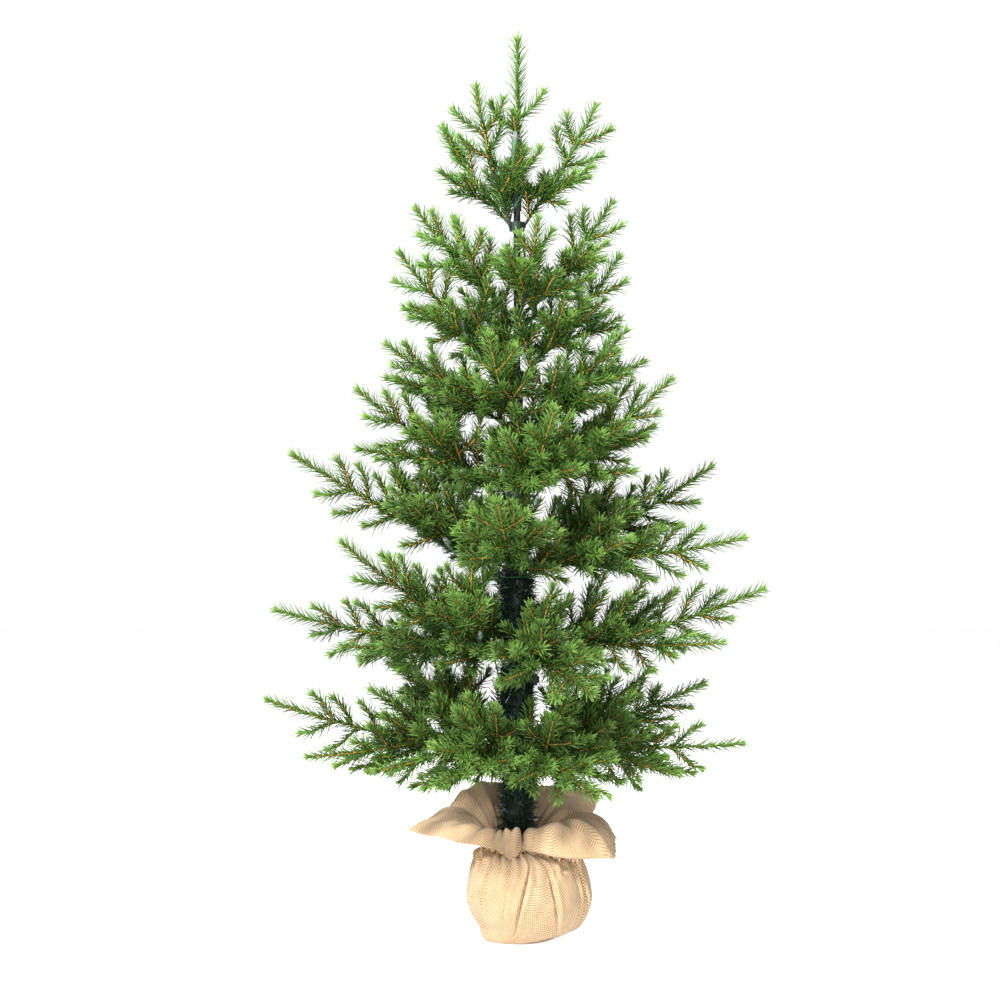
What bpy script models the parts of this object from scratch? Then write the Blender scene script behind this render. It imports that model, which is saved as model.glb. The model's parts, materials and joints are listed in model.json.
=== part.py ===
"""Artificial tabletop tree: a weighted pot in a burlap wrap, a two-piece pole, tiers of
bendable branches seated in collars, trunk garland, and a battery-powered light string.

Metres, +Z up. The origin is the middle of the base's underside, on the pole's axis.
The front faces -Y. Azimuths turn counter-clockwise from +X, seen from above.
"""

import math
from collections import namedtuple

import bmesh
import bpy
from mathutils import Matrix, Vector

MM = 0.001
TAU = 2 * math.pi

# --- Clearances -----------------------------------------------------------------
TOUCH_GAP = 0.3 * MM  # between pieces that touch on the real tree
HINGE_GAP = 0.4 * MM  # between a branch's eye and its slot

# --- Base -----------------------------------------------------------------------
POT_FOOT_RADIUS = 31 * MM
POT_RIM_RADIUS = 47 * MM
POT_HEIGHT = 62 * MM
POT_WALL = 2.2 * MM
CEMENT_BELOW_RIM = 6 * MM
SOCKET_WALL = 1.2 * MM
SOCKET_ABOVE_FLOOR = 8 * MM
SOCKET_PROUD = 16 * MM  # of the cement's top

# --- Burlap wrap, one sheet gathered round the pot ----------------------------------
CLOTH = 1.6 * MM
CLOTH_SLACK = 1.5 * MM  # between the pot and the cloth at the foot and the rim
SACK_FOOT_CURVE = 8 * MM  # how far the cloth rounds out past the flat that it stands on
SACK_BELLY_RADIUS = 61 * MM
SACK_BELLY_HEIGHT = 45 * MM
SACK_SHOULDER_RISE = 19 * MM  # of the shoulder above the pot's rim
NECK_RADIUS = 22 * MM
NECK_RISE = 28 * MM  # of the neck above the pot's rim
TWINE_RADIUS = 1.5 * MM
# The collar's free edge: azimuth in degrees, radius and height.
COLLAR_EDGE = (
    (5, 74 * MM, 118 * MM),
    (38, 104 * MM, 138 * MM),
    (72, 68 * MM, 146 * MM),
    (118, 78 * MM, 144 * MM),
    (155, 72 * MM, 136 * MM),
    (188, 112 * MM, 108 * MM),
    (222, 62 * MM, 102 * MM),
    (262, 38 * MM, 108 * MM),
    (300, 60 * MM, 108 * MM),
    (330, 108 * MM, 98 * MM),
)
CLOTH_STEPS = 32  # facets round the wrap
FLANK_SHARE = 0.94  # the sack's radius half way up to its belly, as a share of the belly's
FOLD_SHARE = 0.35  # of the collar's rise that is behind it half way out

# --- Pole -----------------------------------------------------------------------
POLE_RADIUS = 6.0 * MM
POLE_WALL = 1.0 * MM
POLE_TOP = 538 * MM
ROD_RADIUS = 3.3 * MM
ROD_IN_POLE = 30 * MM
ROD_TOP = 735 * MM
LEADER_SOCKET = 12 * MM  # depth of the leader's bore over the rod's top
LEADER_SLEEVE_RISE = 4 * MM  # of the leader's full-width sleeve above the rod
LEADER_TAPER = 8 * MM
LEADER_POINT = 40 * MM

# --- Collars that seat the branches -----------------------------------------------
COLLAR_WALL = 4.0 * MM
COLLAR_BELOW = 5.0 * MM
COLLAR_ABOVE = 4.0 * MM
EYE_RADIUS = 2.4 * MM
EYE_INSET = 0.6 * MM  # the hinge line inside the collar's outer face

# --- Limbs ----------------------------------------------------------------------
STEM_HALF = 1.6 * MM
STEM_AT_HINGE = 0.75  # of the stem's half-thickness, so that its foot turns inside the slot
NEEDLED_HALF = 2.4 * MM
SHOOT_BASE_HALF = 1.8 * MM
SHOOT_BELLY_HALF = 3.0 * MM
SHOOT_TIP_HALF = 1.2 * MM
SPRAY_LIFT = 8  # degrees that a spray turns up along its length
PRONG_ANGLE = 40
PRONG_SLIMNESS = 0.8  # a prong's half-thickness, as a share of its spray's
PRONG_LENGTH = 46 * MM
FORK_FROM_TIP = 76 * MM
FORK_SHARE = 0.42  # the fork's place along a spray too short for that
BRANCH_REACH = 1.0  # scales every stem, to widen or narrow the whole tree

# --- Trunk garland ------------------------------------------------------------------
GARLAND_DEPTH = 4.5 * MM
GARLAND_CLEAR = 6 * MM  # from a sleeve's end to the nearest collar

# --- Light string -------------------------------------------------------------------
CORD_RADIUS = 1.0 * MM
CORD_DROP = 8 * MM  # cord below the stem that carries it
CORD_SPREAD = 4.5 * MM  # each run of a loop beside the stem's centreline
CORD_OFF_COLLAR = 5.5 * MM  # trunk run outside the collars
CORD_EXIT = (-6 * MM, 6 * MM)  # on the battery box's foot, from its middle and its front
# A loop out and back under a lit branch: the share of its reach, and of CORD_SPREAD to a side.
CORD_LOOP = ((0.25, -1), (0.62, -1), (0.95, -0.8), (1.0, 0.0), (0.95, 0.8), (0.62, 1), (0.25, 1))
CORD_TURN = 55  # degrees of the trunk between two points of a run round it

# --- Battery box, for two AA cells ---------------------------------------------------
CELL_RADIUS = 7.1 * MM
CELL_LENGTH = 50.5 * MM
CELL_CLEAR = 0.5 * MM
CASE_WALL = 1.6 * MM
CONTACT_ROOM = 4.5 * MM  # past each end of the cells
CONTACT_THICKNESS = 0.6 * MM
CASE_ABOVE_TIER = 12 * MM  # above the lowest collar's hinges
CASE_OFF_GARLAND = 1.5 * MM
COVER_THICKNESS = 2.0 * MM
BUTTON_RADIUS = 3.5 * MM
BUTTON_PROUD = 2.0 * MM
BUTTON_DEPTH = 4.0 * MM
BUTTON_SEAT = 1.0 * MM  # solid behind the button's hole
BUTTON_ROOM = 1.4 * MM  # behind the button, for its travel
BOSS_SIDE = 11 * MM  # of the square boss that holds the button
BOSS_FROM_FRONT = 3 * MM
BOSS_BELOW_TOP = 5 * MM
CONTACT_SPRING_RADIUS = 3 * MM
CONTACT_SHORT = 2 * MM  # of a cell's diameter
OVERCUT = 5 * MM  # that a pocket's cutter stands past its mouth

Tier = namedtuple("Tier", "name height branches")
# A stem leaves the pole at an azimuth and a rise, and bends by `bend` degrees along its length.
Branch = namedtuple("Branch", "name azimuth rise length bend sprays")
# A spray is a moulded tip. `at` is where it leaves the stem, as a distance from the hinge, or END.
# Yaw is to the left of the stem seen from the trunk, pitch is up from it, and roll turns its fork.
Spray = namedtuple("Spray", "at yaw pitch length roll")
END = -1.0


def spray(at, yaw, pitch, length, roll=0):
    return Spray(at if at == END else at * MM, yaw, pitch, length * MM, roll)


def branch(name, azimuth, rise, length, bend, *sprays):
    return Branch(name, azimuth, rise, length * MM * BRANCH_REACH, bend, sprays)


TIERS = (
    Tier("h", 192 * MM, (
        branch("h_left", 186, 2, 104, 6, spray(END, -2, 4, 148, 55),
               spray(80, 24, -14, 138, 30), spray(54, -30, 20, 112, -20), spray(40, 38, -16, 128, 20)),
        branch("h_front_left", 243, -4, 78, -4, spray(END, 0, -6, 90, 20),
               spray(38, 22, -4, 84, 15), spray(50, -20, 12, 80, -15)),
        branch("h_front_right", 298, -7, 72, -4, spray(END, 0, -10, 88, -15),
               spray(38, -20, 0, 76, -20), spray(50, 30, 6, 84, 20)),
        branch("h_right", 354, 0, 82, 0, spray(END, 0, -2, 140, 50),
               spray(44, 20, 2, 112, 30), spray(60, -26, -16, 112, 20)),
        branch("h_back_right", 32, 10, 104, 2, spray(END, 0, 0, 132, 20),
               spray(46, 32, 8, 96, 10), spray(56, -16, 22, 108, 20)),
        branch("h_back_left", 145, 24, 92, 4, spray(END, 0, 4, 124, 30),
               spray(50, 30, 10, 104, 20), spray(60, -30, 8, 96, -10)),
    )),
    Tier("g", 280 * MM, (
        branch("g_left", 176, 12, 104, -4, spray(END, 0, 0, 142, 35),
               spray(60, 26, -12, 118, 10), spray(46, -32, 14, 100, 20)),
        branch("g_front_left", 212, 26, 96, 4, spray(END, -4, 2, 130, 30),
               spray(40, 34, 6, 96, 10), spray(54, -26, 14, 122, 0)),
        branch("g_front_right", 290, 2, 80, -6, spray(END, 6, -14, 100, 20),
               spray(36, -34, 8, 84, 10), spray(48, 30, 4, 84, -20)),
        branch("g_right", 350, 10, 108, 4, spray(END, 4, 2, 146, 30),
               spray(48, 30, 12, 128, 30), spray(72, -18, -14, 140, 20)),
        branch("g_back", 92, 20, 104, 6, spray(END, 0, 4, 122, 0),
               spray(40, 32, 6, 92, 0), spray(52, -34, 6, 92, 0)),
    )),
    Tier("f", 368 * MM, (
        branch("f_left", 184, 24, 108, 4, spray(END, 0, -2, 142, 48),
               spray(62, 26, 10, 96, 10), spray(48, -14, 20, 104, 20)),
        branch("f_front", 262, 14, 64, 6, spray(END, 0, 12, 92, 0),
               spray(30, 36, 14, 80, 0), spray(38, -36, 10, 80, 0)),
        branch("f_right_low", 344, 6, 96, 0, spray(END, 6, 0, 132, 45),
               spray(42, -30, 8, 96, 15), spray(58, 26, 12, 96, 10)),
        branch("f_right", 22, 22, 106, 2, spray(END, -2, 2, 132, 40),
               spray(40, 32, 12, 104, 10), spray(56, -28, 10, 112, 20)),
        branch("f_back_left", 116, 28, 92, 4, spray(END, 0, 4, 112, 20),
               spray(40, 26, 8, 84, 10), spray(52, -34, 8, 88, -10)),
    )),
    Tier("e", 442 * MM, (
        branch("e_left", 188, 32, 88, 2, spray(END, 0, -2, 102, 30),
               spray(42, -24, 22, 110, -30), spray(56, 32, 4, 84, 10)),
        branch("e_front_right", 288, 24, 56, 8, spray(END, 0, 10, 86, 20),
               spray(28, 36, 12, 74, 0), spray(36, -36, 12, 76, 0)),
        branch("e_right", 352, 34, 80, 4, spray(END, -2, -2, 112, 40),
               spray(38, 18, 12, 128, -20), spray(52, -28, -6, 92, 10)),
        branch("e_back", 78, 32, 80, 4, spray(END, 0, 4, 96, 0),
               spray(34, 34, 8, 78, 0), spray(46, -34, 8, 78, 0)),
    )),
    Tier("d", 510 * MM, (
        branch("d_left", 178, 32, 70, 0, spray(END, 0, 0, 84, 30),
               spray(34, 30, -8, 70, 10)),
        branch("d_front", 250, 34, 40, 8, spray(END, 0, 10, 82, 10),
               spray(26, -38, 6, 66, 0)),
        branch("d_right", 340, 38, 62, 2, spray(END, 0, 0, 86, 30),
               spray(36, 30, -6, 78, 15)),
    )),
    Tier("c", 560 * MM, (
        branch("c_left", 200, 40, 78, 4, spray(END, -4, 2, 96, 35),
               spray(38, -34, -6, 80, 20)),
        branch("c_right", 10, 46, 66, 2, spray(END, 0, 2, 98, 35),
               spray(36, -36, 4, 76, 20)),
        branch("c_back", 120, 48, 52, 4, spray(END, 0, 2, 82, 0),
               spray(30, 34, 4, 66, 0)),
    )),
    Tier("b", 620 * MM, (
        branch("b_left", 172, 46, 60, 0, spray(END, 0, 0, 92, 30),
               spray(34, 27, 17, 86, 14)),
        branch("b_front", 290, 48, 38, 6, spray(END, 0, 8, 76, 20),
               spray(24, -36, 6, 60, 0)),
        branch("b_right", 18, 50, 64, -2, spray(END, 0, 0, 94, 35),
               spray(34, -24, -12, 84, 20)),
    )),
    Tier("a", 708 * MM, (
        branch("a_left_high", 212, 68, 58, 2, spray(END, 0, 2, 92, 40)),
        branch("a_left_low", 142, 44, 58, 4, spray(END, 0, 2, 90, 30),
               spray(26, -40, 4, 60, 0)),
        branch("a_right", 24, 54, 64, 0, spray(END, 0, 2, 94, 40),
               spray(30, -38, -14, 72, 0)),
    )),
)
# The leader stands on the rod: central shoot, then pairs of prongs as height, length, azimuth.
LEADER_LENGTH = 177 * MM
LEADER_PRONGS = (
    (22 * MM, 44 * MM, 335),
    (14 * MM, 50 * MM, 185),
    (78 * MM, 46 * MM, 5),
    (66 * MM, 46 * MM, 175),
)
LEADER_PRONG_RISE = 50
# Branches that carry a lamp, upwards from the box: how far out each loop reaches, and how
# late the run that leads there climbs (1 is a steady climb, 4 stays low at first).
LIT = (
    ("h_back_left", 76 * MM, 1),
    ("h_left", 76 * MM, 1),
    ("h_right", 62 * MM, 1),
    ("g_front_left", 66 * MM, 4),
    ("g_right", 92 * MM, 1),
    ("f_left", 94 * MM, 1.2),
    ("f_right", 74 * MM, 1.6),
    ("e_left", 74 * MM, 1),
    ("e_right", 68 * MM, 1),
    ("d_right", 52 * MM, 0.9),
    ("c_left", 58 * MM, 1.2),
    ("b_right", 54 * MM, 1),
)


COLOURS = {
    "pot": ((0.10, 0.10, 0.10), 0.55, 0.0),
    "cement": ((0.52, 0.51, 0.48), 0.95, 0.0),
    "burlap": ((0.72, 0.52, 0.30), 0.95, 0.0),
    "twine": ((0.60, 0.44, 0.26), 0.9, 0.0),
    "pole": ((0.04, 0.05, 0.045), 0.5, 0.3),
    "rod": ((0.30, 0.31, 0.31), 0.4, 0.8),
    "collar": ((0.03, 0.06, 0.04), 0.6, 0.0),
    "needles": ((0.13, 0.28, 0.09), 0.6, 0.0),
    "garland": ((0.05, 0.14, 0.09), 0.6, 0.0),
    "cord": ((0.03, 0.12, 0.06), 0.45, 0.0),
    "case": ((0.03, 0.10, 0.06), 0.5, 0.0),
    "button": ((0.05, 0.05, 0.05), 0.4, 0.0),
    "cell": ((0.30, 0.31, 0.34), 0.35, 0.6),
    "contact": ((0.75, 0.73, 0.68), 0.3, 0.9),
}


# --- Shared helpers -------------------------------------------------------------


def material(name):
    existing = bpy.data.materials.get(name)
    if existing:
        return existing
    colour, roughness, metallic = COLOURS[name]
    made = bpy.data.materials.new(name)
    made.use_nodes = True
    shader = made.node_tree.nodes["Principled BSDF"]
    shader.inputs["Base Color"].default_value = (*colour, 1.0)
    shader.inputs["Roughness"].default_value = roughness
    shader.inputs["Metallic"].default_value = metallic
    return made


def add_mesh(name, mesh, slot, origin=(0, 0, 0), smooth=False):
    """An object of this mesh, with its origin moved to a joint's axis."""
    mesh.transform(Matrix.Translation(-Vector(origin)))
    mesh.materials.clear()
    mesh.materials.append(material(slot))
    if smooth:
        mesh.shade_smooth()
        mesh.set_sharp_from_angle(angle=math.radians(40))
    made = bpy.data.objects.new(name, mesh)
    made.location = origin
    bpy.context.scene.collection.objects.link(made)
    return made


def mesh_from(bm):
    bmesh.ops.recalc_face_normals(bm, faces=bm.faces)
    mesh = bpy.data.meshes.new("solid")
    bm.to_mesh(mesh)
    bm.free()
    return mesh


def combined(first, others, operation):
    """The first mesh after a Boolean with each of the others in turn."""
    scene_objects = bpy.context.scene.collection.objects
    base = bpy.data.objects.new("boolean_base", first)
    scene_objects.link(base)
    cutters = []
    for other in others:
        cutter = bpy.data.objects.new("boolean_cutter", other)
        scene_objects.link(cutter)
        cutters.append(cutter)
        step = base.modifiers.new("step", "BOOLEAN")
        step.operation = operation
        step.solver = "EXACT"
        step.object = cutter
    bpy.context.view_layer.update()
    graph = bpy.context.evaluated_depsgraph_get()
    result = bpy.data.meshes.new_from_object(base.evaluated_get(graph))
    for helper in [base, *cutters]:
        bpy.data.objects.remove(helper, do_unlink=True)
    return result


def turned(profile, sides):
    """A solid of revolution round Z from a closed (radius, height) outline."""
    bm = bmesh.new()
    rings = []
    for radius, height in profile:
        if radius == 0:
            rings.append([bm.verts.new((0, 0, height))])
            continue
        ring = []
        for index in range(sides):
            angle = TAU * index / sides
            ring.append(bm.verts.new((radius * math.cos(angle), radius * math.sin(angle), height)))
        rings.append(ring)
    for lower, upper in zip(rings, rings[1:] + rings[:1]):
        if len(lower) == 1 and len(upper) == 1:
            continue
        for index in range(sides):
            after = (index + 1) % sides
            if len(lower) == 1:
                bm.faces.new((lower[0], upper[index], upper[after]))
            elif len(upper) == 1:
                bm.faces.new((lower[index], lower[after], upper[0]))
            else:
                bm.faces.new((lower[index], lower[after], upper[after], upper[index]))
    return mesh_from(bm)


def tube(inner, outer, low, high, sides):
    """An open pipe on the Z axis."""
    return turned(((inner, low), (outer, low), (outer, high), (inner, high)), sides)


def block(low, high):
    bm = bmesh.new()
    bmesh.ops.create_cube(bm, size=1)
    size = Vector(high) - Vector(low)
    middle = (Vector(high) + Vector(low)) / 2
    for vert in bm.verts:
        vert.co = Vector(a * b for a, b in zip(vert.co, size)) + middle
    return mesh_from(bm)


def round_bar(start, axis, length, radius, sides=8):
    """A plain cylinder from a point along an axis."""
    bm = bmesh.new()
    ends = {"radius1": radius, "radius2": radius}
    bmesh.ops.create_cone(bm, cap_ends=True, segments=sides, depth=length, **ends)
    axis = Vector(axis).normalized()
    turn = axis.to_track_quat("Z", "Y").to_matrix().to_4x4()
    bm.transform(Matrix.Translation(Vector(start) + axis * length / 2) @ turn)
    return mesh_from(bm)


def direction(azimuth, rise):
    """Unit vector at an azimuth and a rise above level, in degrees."""
    a = math.radians(azimuth)
    r = math.radians(rise)
    return Vector((math.cos(r) * math.cos(a), math.cos(r) * math.sin(a), math.sin(r)))


def side_and_up(forward):
    side = Vector((0, 0, 1)).cross(forward).normalized()
    return side, forward.cross(side)


def limb(points, halves):
    """A closed four-sided rod along points, with a half width at each."""
    bm = bmesh.new()
    rings = []
    for index, (point, half) in enumerate(zip(points, halves)):
        before = points[max(index - 1, 0)]
        after = points[min(index + 1, len(points) - 1)]
        side, up = side_and_up((after - before).normalized())
        corners = (side, up, -side, -up)
        rings.append([bm.verts.new(point + corner * half) for corner in corners])
    for lower, upper in zip(rings, rings[1:]):
        for index in range(4):
            after = (index + 1) % 4
            bm.faces.new((lower[index], lower[after], upper[after], upper[index]))
    bm.faces.new(list(reversed(rings[0])))
    bm.faces.new(rings[-1])
    return mesh_from(bm)


# --- Base -----------------------------------------------------------------------


def pot_radius(height):
    """The pot's outer radius at a height above its own foot."""
    return POT_FOOT_RADIUS + (POT_RIM_RADIUS - POT_FOOT_RADIUS) * height / POT_HEIGHT


def make_pot():
    foot = CLOTH + TOUCH_GAP
    rim = foot + POT_HEIGHT
    floor = foot + POT_WALL
    profile = (
        (0, foot),
        (POT_FOOT_RADIUS, foot),
        (POT_RIM_RADIUS, rim),
        (POT_RIM_RADIUS - POT_WALL, rim),
        (POT_FOOT_RADIUS - POT_WALL, floor),
        (0, floor),
    )
    add_mesh("pot", turned(profile, 32), "pot", smooth=True)


def cement_top():
    return CLOTH + TOUCH_GAP + POT_HEIGHT - CEMENT_BELOW_RIM


def cement_floor():
    return CLOTH + 2 * TOUCH_GAP + POT_WALL


def socket_outer():
    return POLE_RADIUS + TOUCH_GAP + SOCKET_WALL


def make_cement():
    """The poured weight, with the pole's socket cast into it."""
    side = POT_WALL + 2 * TOUCH_GAP
    foot_radius = POT_FOOT_RADIUS - side
    top_radius = pot_radius(POT_HEIGHT - CEMENT_BELOW_RIM) - side
    hole = socket_outer() + TOUCH_GAP
    hole_floor = cement_floor() + SOCKET_ABOVE_FLOOR
    profile = (
        (0, cement_floor()),
        (foot_radius, cement_floor()),
        (top_radius, cement_top()),
        (hole, cement_top()),
        (hole, hole_floor),
        (0, hole_floor),
    )
    add_mesh("cement_weight", turned(profile, 28), "cement", smooth=True)


def socket_floor():
    return cement_floor() + SOCKET_ABOVE_FLOOR + TOUCH_GAP


def make_socket():
    low = socket_floor()
    top = cement_top() + SOCKET_PROUD
    outer = socket_outer()
    inner = outer - SOCKET_WALL
    floor = low + SOCKET_WALL
    profile = ((0, low), (outer, low), (outer, top), (inner, top), (inner, floor), (0, floor))
    add_mesh("pole_socket", turned(profile, 20), "case", smooth=True)


# --- Burlap wrap ------------------------------------------------------------------


def collar_edge(azimuth):
    """Radius and height of the wrap's free edge, eased between its listed points."""
    points = COLLAR_EDGE + ((COLLAR_EDGE[0][0] + 360, *COLLAR_EDGE[0][1:]),)
    turn = azimuth % 360
    if turn < points[0][0]:
        turn += 360
    for before, after in zip(points, points[1:]):
        if turn <= after[0]:
            share = (turn - before[0]) / (after[0] - before[0])
            eased = share * share * (3 - 2 * share)
            radius = before[1] + (after[1] - before[1]) * eased
            return radius, before[2] + (after[2] - before[2]) * eased
    return points[-1][1:]


def make_burlap():
    """One sheet from under the pot, up round it, in at the neck and out to its corners."""
    rim = CLOTH + TOUCH_GAP + POT_HEIGHT
    rim_radius = POT_RIM_RADIUS + CLOTH_SLACK + CLOTH
    shoulder = rim + SACK_SHOULDER_RISE
    neck = rim + NECK_RISE
    foot_radius = POT_FOOT_RADIUS + CLOTH_SLACK + CLOTH
    band = 2 * TWINE_RADIUS
    turns = (
        (foot_radius, 0),
        (foot_radius + SACK_FOOT_CURVE, SACK_FOOT_CURVE),
        (SACK_BELLY_RADIUS * FLANK_SHARE, SACK_BELLY_HEIGHT / 2),
        (SACK_BELLY_RADIUS, SACK_BELLY_HEIGHT),
        ((SACK_BELLY_RADIUS + rim_radius) / 2, rim),
        (rim_radius, shoulder),
        (NECK_RADIUS, neck - band),
        (NECK_RADIUS, neck + band),
    )
    bm = bmesh.new()
    centre = bm.verts.new((0, 0, 0))
    rings = [[] for _ in range(len(turns) + 2)]
    for index in range(CLOTH_STEPS):
        azimuth = 360 * index / CLOTH_STEPS
        outward = direction(azimuth, 0)
        for ring, (radius, height) in zip(rings, turns):
            ring.append(bm.verts.new(outward * radius + Vector((0, 0, height))))
        edge_radius, edge_height = collar_edge(azimuth)
        start_radius, start_height = turns[-1]
        mid_radius = (start_radius + edge_radius) / 2
        mid_height = start_height + (edge_height - start_height) * FOLD_SHARE
        rings[-2].append(bm.verts.new(outward * mid_radius + Vector((0, 0, mid_height))))
        rings[-1].append(bm.verts.new(outward * edge_radius + Vector((0, 0, edge_height))))
    for index in range(CLOTH_STEPS):
        after = (index + 1) % CLOTH_STEPS
        bm.faces.new((centre, rings[0][after], rings[0][index]))
        for lower, upper in zip(rings, rings[1:]):
            bm.faces.new((lower[index], lower[after], upper[after], upper[index]))
    for face in bm.faces:
        face.normal_update()
    mesh = bpy.data.meshes.new("solid")
    bm.to_mesh(mesh)
    bm.free()
    wrap = add_mesh("burlap_wrap", mesh, "burlap")
    shell = wrap.modifiers.new("cloth", "SOLIDIFY")
    shell.thickness = CLOTH
    shell.offset = -1
    shell.use_even_offset = True


def make_twine():
    """A ring of twine that ties the wrap's neck."""
    neck = CLOTH + TOUCH_GAP + POT_HEIGHT + NECK_RISE
    middle = NECK_RADIUS + TOUCH_GAP * 2 + TWINE_RADIUS
    profile = []
    for index in range(6):
        angle = -TAU * index / 6
        profile.append((middle - TWINE_RADIUS * math.cos(angle), neck + TWINE_RADIUS * math.sin(angle)))
    add_mesh("neck_tie", turned(profile, 20), "twine", smooth=True)


# --- Pole -----------------------------------------------------------------------


def make_pole():
    low = socket_floor() + SOCKET_WALL + TOUCH_GAP
    step = POLE_TOP - ROD_IN_POLE
    bore = ROD_RADIUS + TOUCH_GAP
    inner = POLE_RADIUS - POLE_WALL
    profile = (
        (inner, low),
        (POLE_RADIUS, low),
        (POLE_RADIUS, POLE_TOP),
        (bore, POLE_TOP),
        (bore, step),
        (inner, step - POLE_WALL),
    )
    add_mesh("lower_pole", turned(profile, 20), "pole", smooth=True)


def make_rod():
    low = POLE_TOP - ROD_IN_POLE + TOUCH_GAP
    profile = ((0, low), (ROD_RADIUS, low), (ROD_RADIUS, ROD_TOP), (0, ROD_TOP))
    add_mesh("upper_rod", turned(profile, 16), "rod", smooth=True)


def core_radius(height):
    """The radius of whatever pole stands at a height."""
    return POLE_RADIUS if height < POLE_TOP else ROD_RADIUS


# --- Branch collars -----------------------------------------------------------------


def collar_radius(tier):
    return core_radius(tier.height) + TOUCH_GAP + COLLAR_WALL


def hinge_radius(tier):
    return collar_radius(tier) - EYE_INSET


def hinge_point(tier, part):
    return direction(part.azimuth, 0) * hinge_radius(tier) + Vector((0, 0, tier.height))


def slot_cutter(tier, part):
    """A round-bottomed slot, open outwards and upwards, that a branch's eye turns in."""
    outward = direction(part.azimuth, 0)
    side = Vector((0, 0, 1)).cross(outward)
    hinge = hinge_point(tier, part)
    reach = EYE_RADIUS + HINGE_GAP
    outline = [(reach, COLLAR_ABOVE + reach), (-reach, COLLAR_ABOVE + reach)]
    for index in range(5):
        angle = math.pi + math.pi * index / 4
        outline.append((reach * math.cos(angle), reach * math.sin(angle)))
    half = STEM_HALF + HINGE_GAP
    bm = bmesh.new()
    near = []
    far = []
    for radial, height in outline:
        point = hinge + outward * radial + Vector((0, 0, height))
        near.append(bm.verts.new(point - side * half))
        far.append(bm.verts.new(point + side * half))
    bm.faces.new(near)
    bm.faces.new(list(reversed(far)))
    for index in range(len(outline)):
        after = (index + 1) % len(outline)
        bm.faces.new((near[index], near[after], far[after], far[index]))
    return mesh_from(bm)


def make_collar(tier):
    inner = core_radius(tier.height) + TOUCH_GAP
    low = tier.height - COLLAR_BELOW
    high = tier.height + COLLAR_ABOVE
    ring = tube(inner, collar_radius(tier), low, high, 16)
    cutters = [slot_cutter(tier, part) for part in tier.branches]
    add_mesh("collar_" + tier.name, combined(ring, cutters, "DIFFERENCE"), "collar")


# --- Branches -----------------------------------------------------------------------


def stem_points(tier, part, steps=3):
    """The stem's centreline, from its hinge outwards."""
    points = [hinge_point(tier, part)]
    for index in range(steps):
        rise = part.rise + part.bend * (index + 0.5) / steps
        points.append(points[-1] + direction(part.azimuth, rise) * (part.length / steps))
    return points


def along(points, distance):
    """The place and heading at a distance along a line of points."""
    for before, after in zip(points, points[1:]):
        step = (after - before).length
        if distance <= step:
            return before.lerp(after, distance / step), (after - before).normalized()
        distance -= step
    return points[-1], (points[-1] - points[-2]).normalized()


def spray_points(start, heading, part, steps=2):
    """A moulded spray's centreline: it leaves at a yaw and a pitch, and turns up a little."""
    side, up = side_and_up(heading)
    yaw = math.radians(part.yaw)
    flat = heading * math.cos(yaw) + side * math.sin(yaw)
    points = [start]
    for index in range(steps):
        pitch = math.radians(part.pitch + SPRAY_LIFT * (index + 0.5) / steps)
        heading = flat * math.cos(pitch) + up * math.sin(pitch)
        points.append(points[-1] + heading * (part.length / steps))
    return points


def prong_lines(points, part):
    """The two side prongs of a spray, each as its start and its tip."""
    if part.length - FORK_FROM_TIP > FORK_SHARE * part.length:
        fork = part.length - FORK_FROM_TIP
    else:
        fork = part.length * FORK_SHARE
    start, heading = along(points, fork)
    side, up = side_and_up(heading)
    roll = math.radians(part.roll)
    across = side * math.cos(roll) + up * math.sin(roll)
    reach = min(PRONG_LENGTH, 0.5 * part.length)
    spread = math.radians(PRONG_ANGLE)
    lines = []
    for hand in (1, -1):
        tip = start + (heading * math.cos(spread) + across * hand * math.sin(spread)) * reach
        lines.append((start, tip))
    return lines


def shoot_mesh(start, tip):
    halves = (SHOOT_BASE_HALF * PRONG_SLIMNESS, SHOOT_BELLY_HALF * PRONG_SLIMNESS, SHOOT_TIP_HALF)
    return limb((start, start.lerp(tip, 0.5), tip), halves)


def make_branch(tier, part):
    """A wire stem that turns in its collar, with the moulded sprays wound to it."""
    stem = stem_points(tier, part)
    hinge = stem[0]
    outward = direction(part.azimuth, 0)
    side = Vector((0, 0, 1)).cross(outward)
    halves = [STEM_HALF * STEM_AT_HINGE, STEM_HALF] + [NEEDLED_HALF] * (len(stem) - 2)
    pieces = [limb(stem, halves)]
    for piece in part.sprays:
        if piece.at == END:
            start, heading = along(stem, part.length - 2 * MM)
        else:
            start, heading = along(stem, piece.at)
        points = spray_points(start, heading, piece)
        shoot_halves = (SHOOT_BASE_HALF, SHOOT_BELLY_HALF, SHOOT_TIP_HALF)
        pieces.append(limb(points, shoot_halves))
        for line in prong_lines(points, piece):
            pieces.append(shoot_mesh(*line))
    eye = round_bar(hinge - side * STEM_HALF, side, 2 * STEM_HALF, EYE_RADIUS)
    name = "branch_" + part.name
    add_mesh(name, combined(eye, pieces, "UNION"), "needles", origin=hinge)


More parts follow.
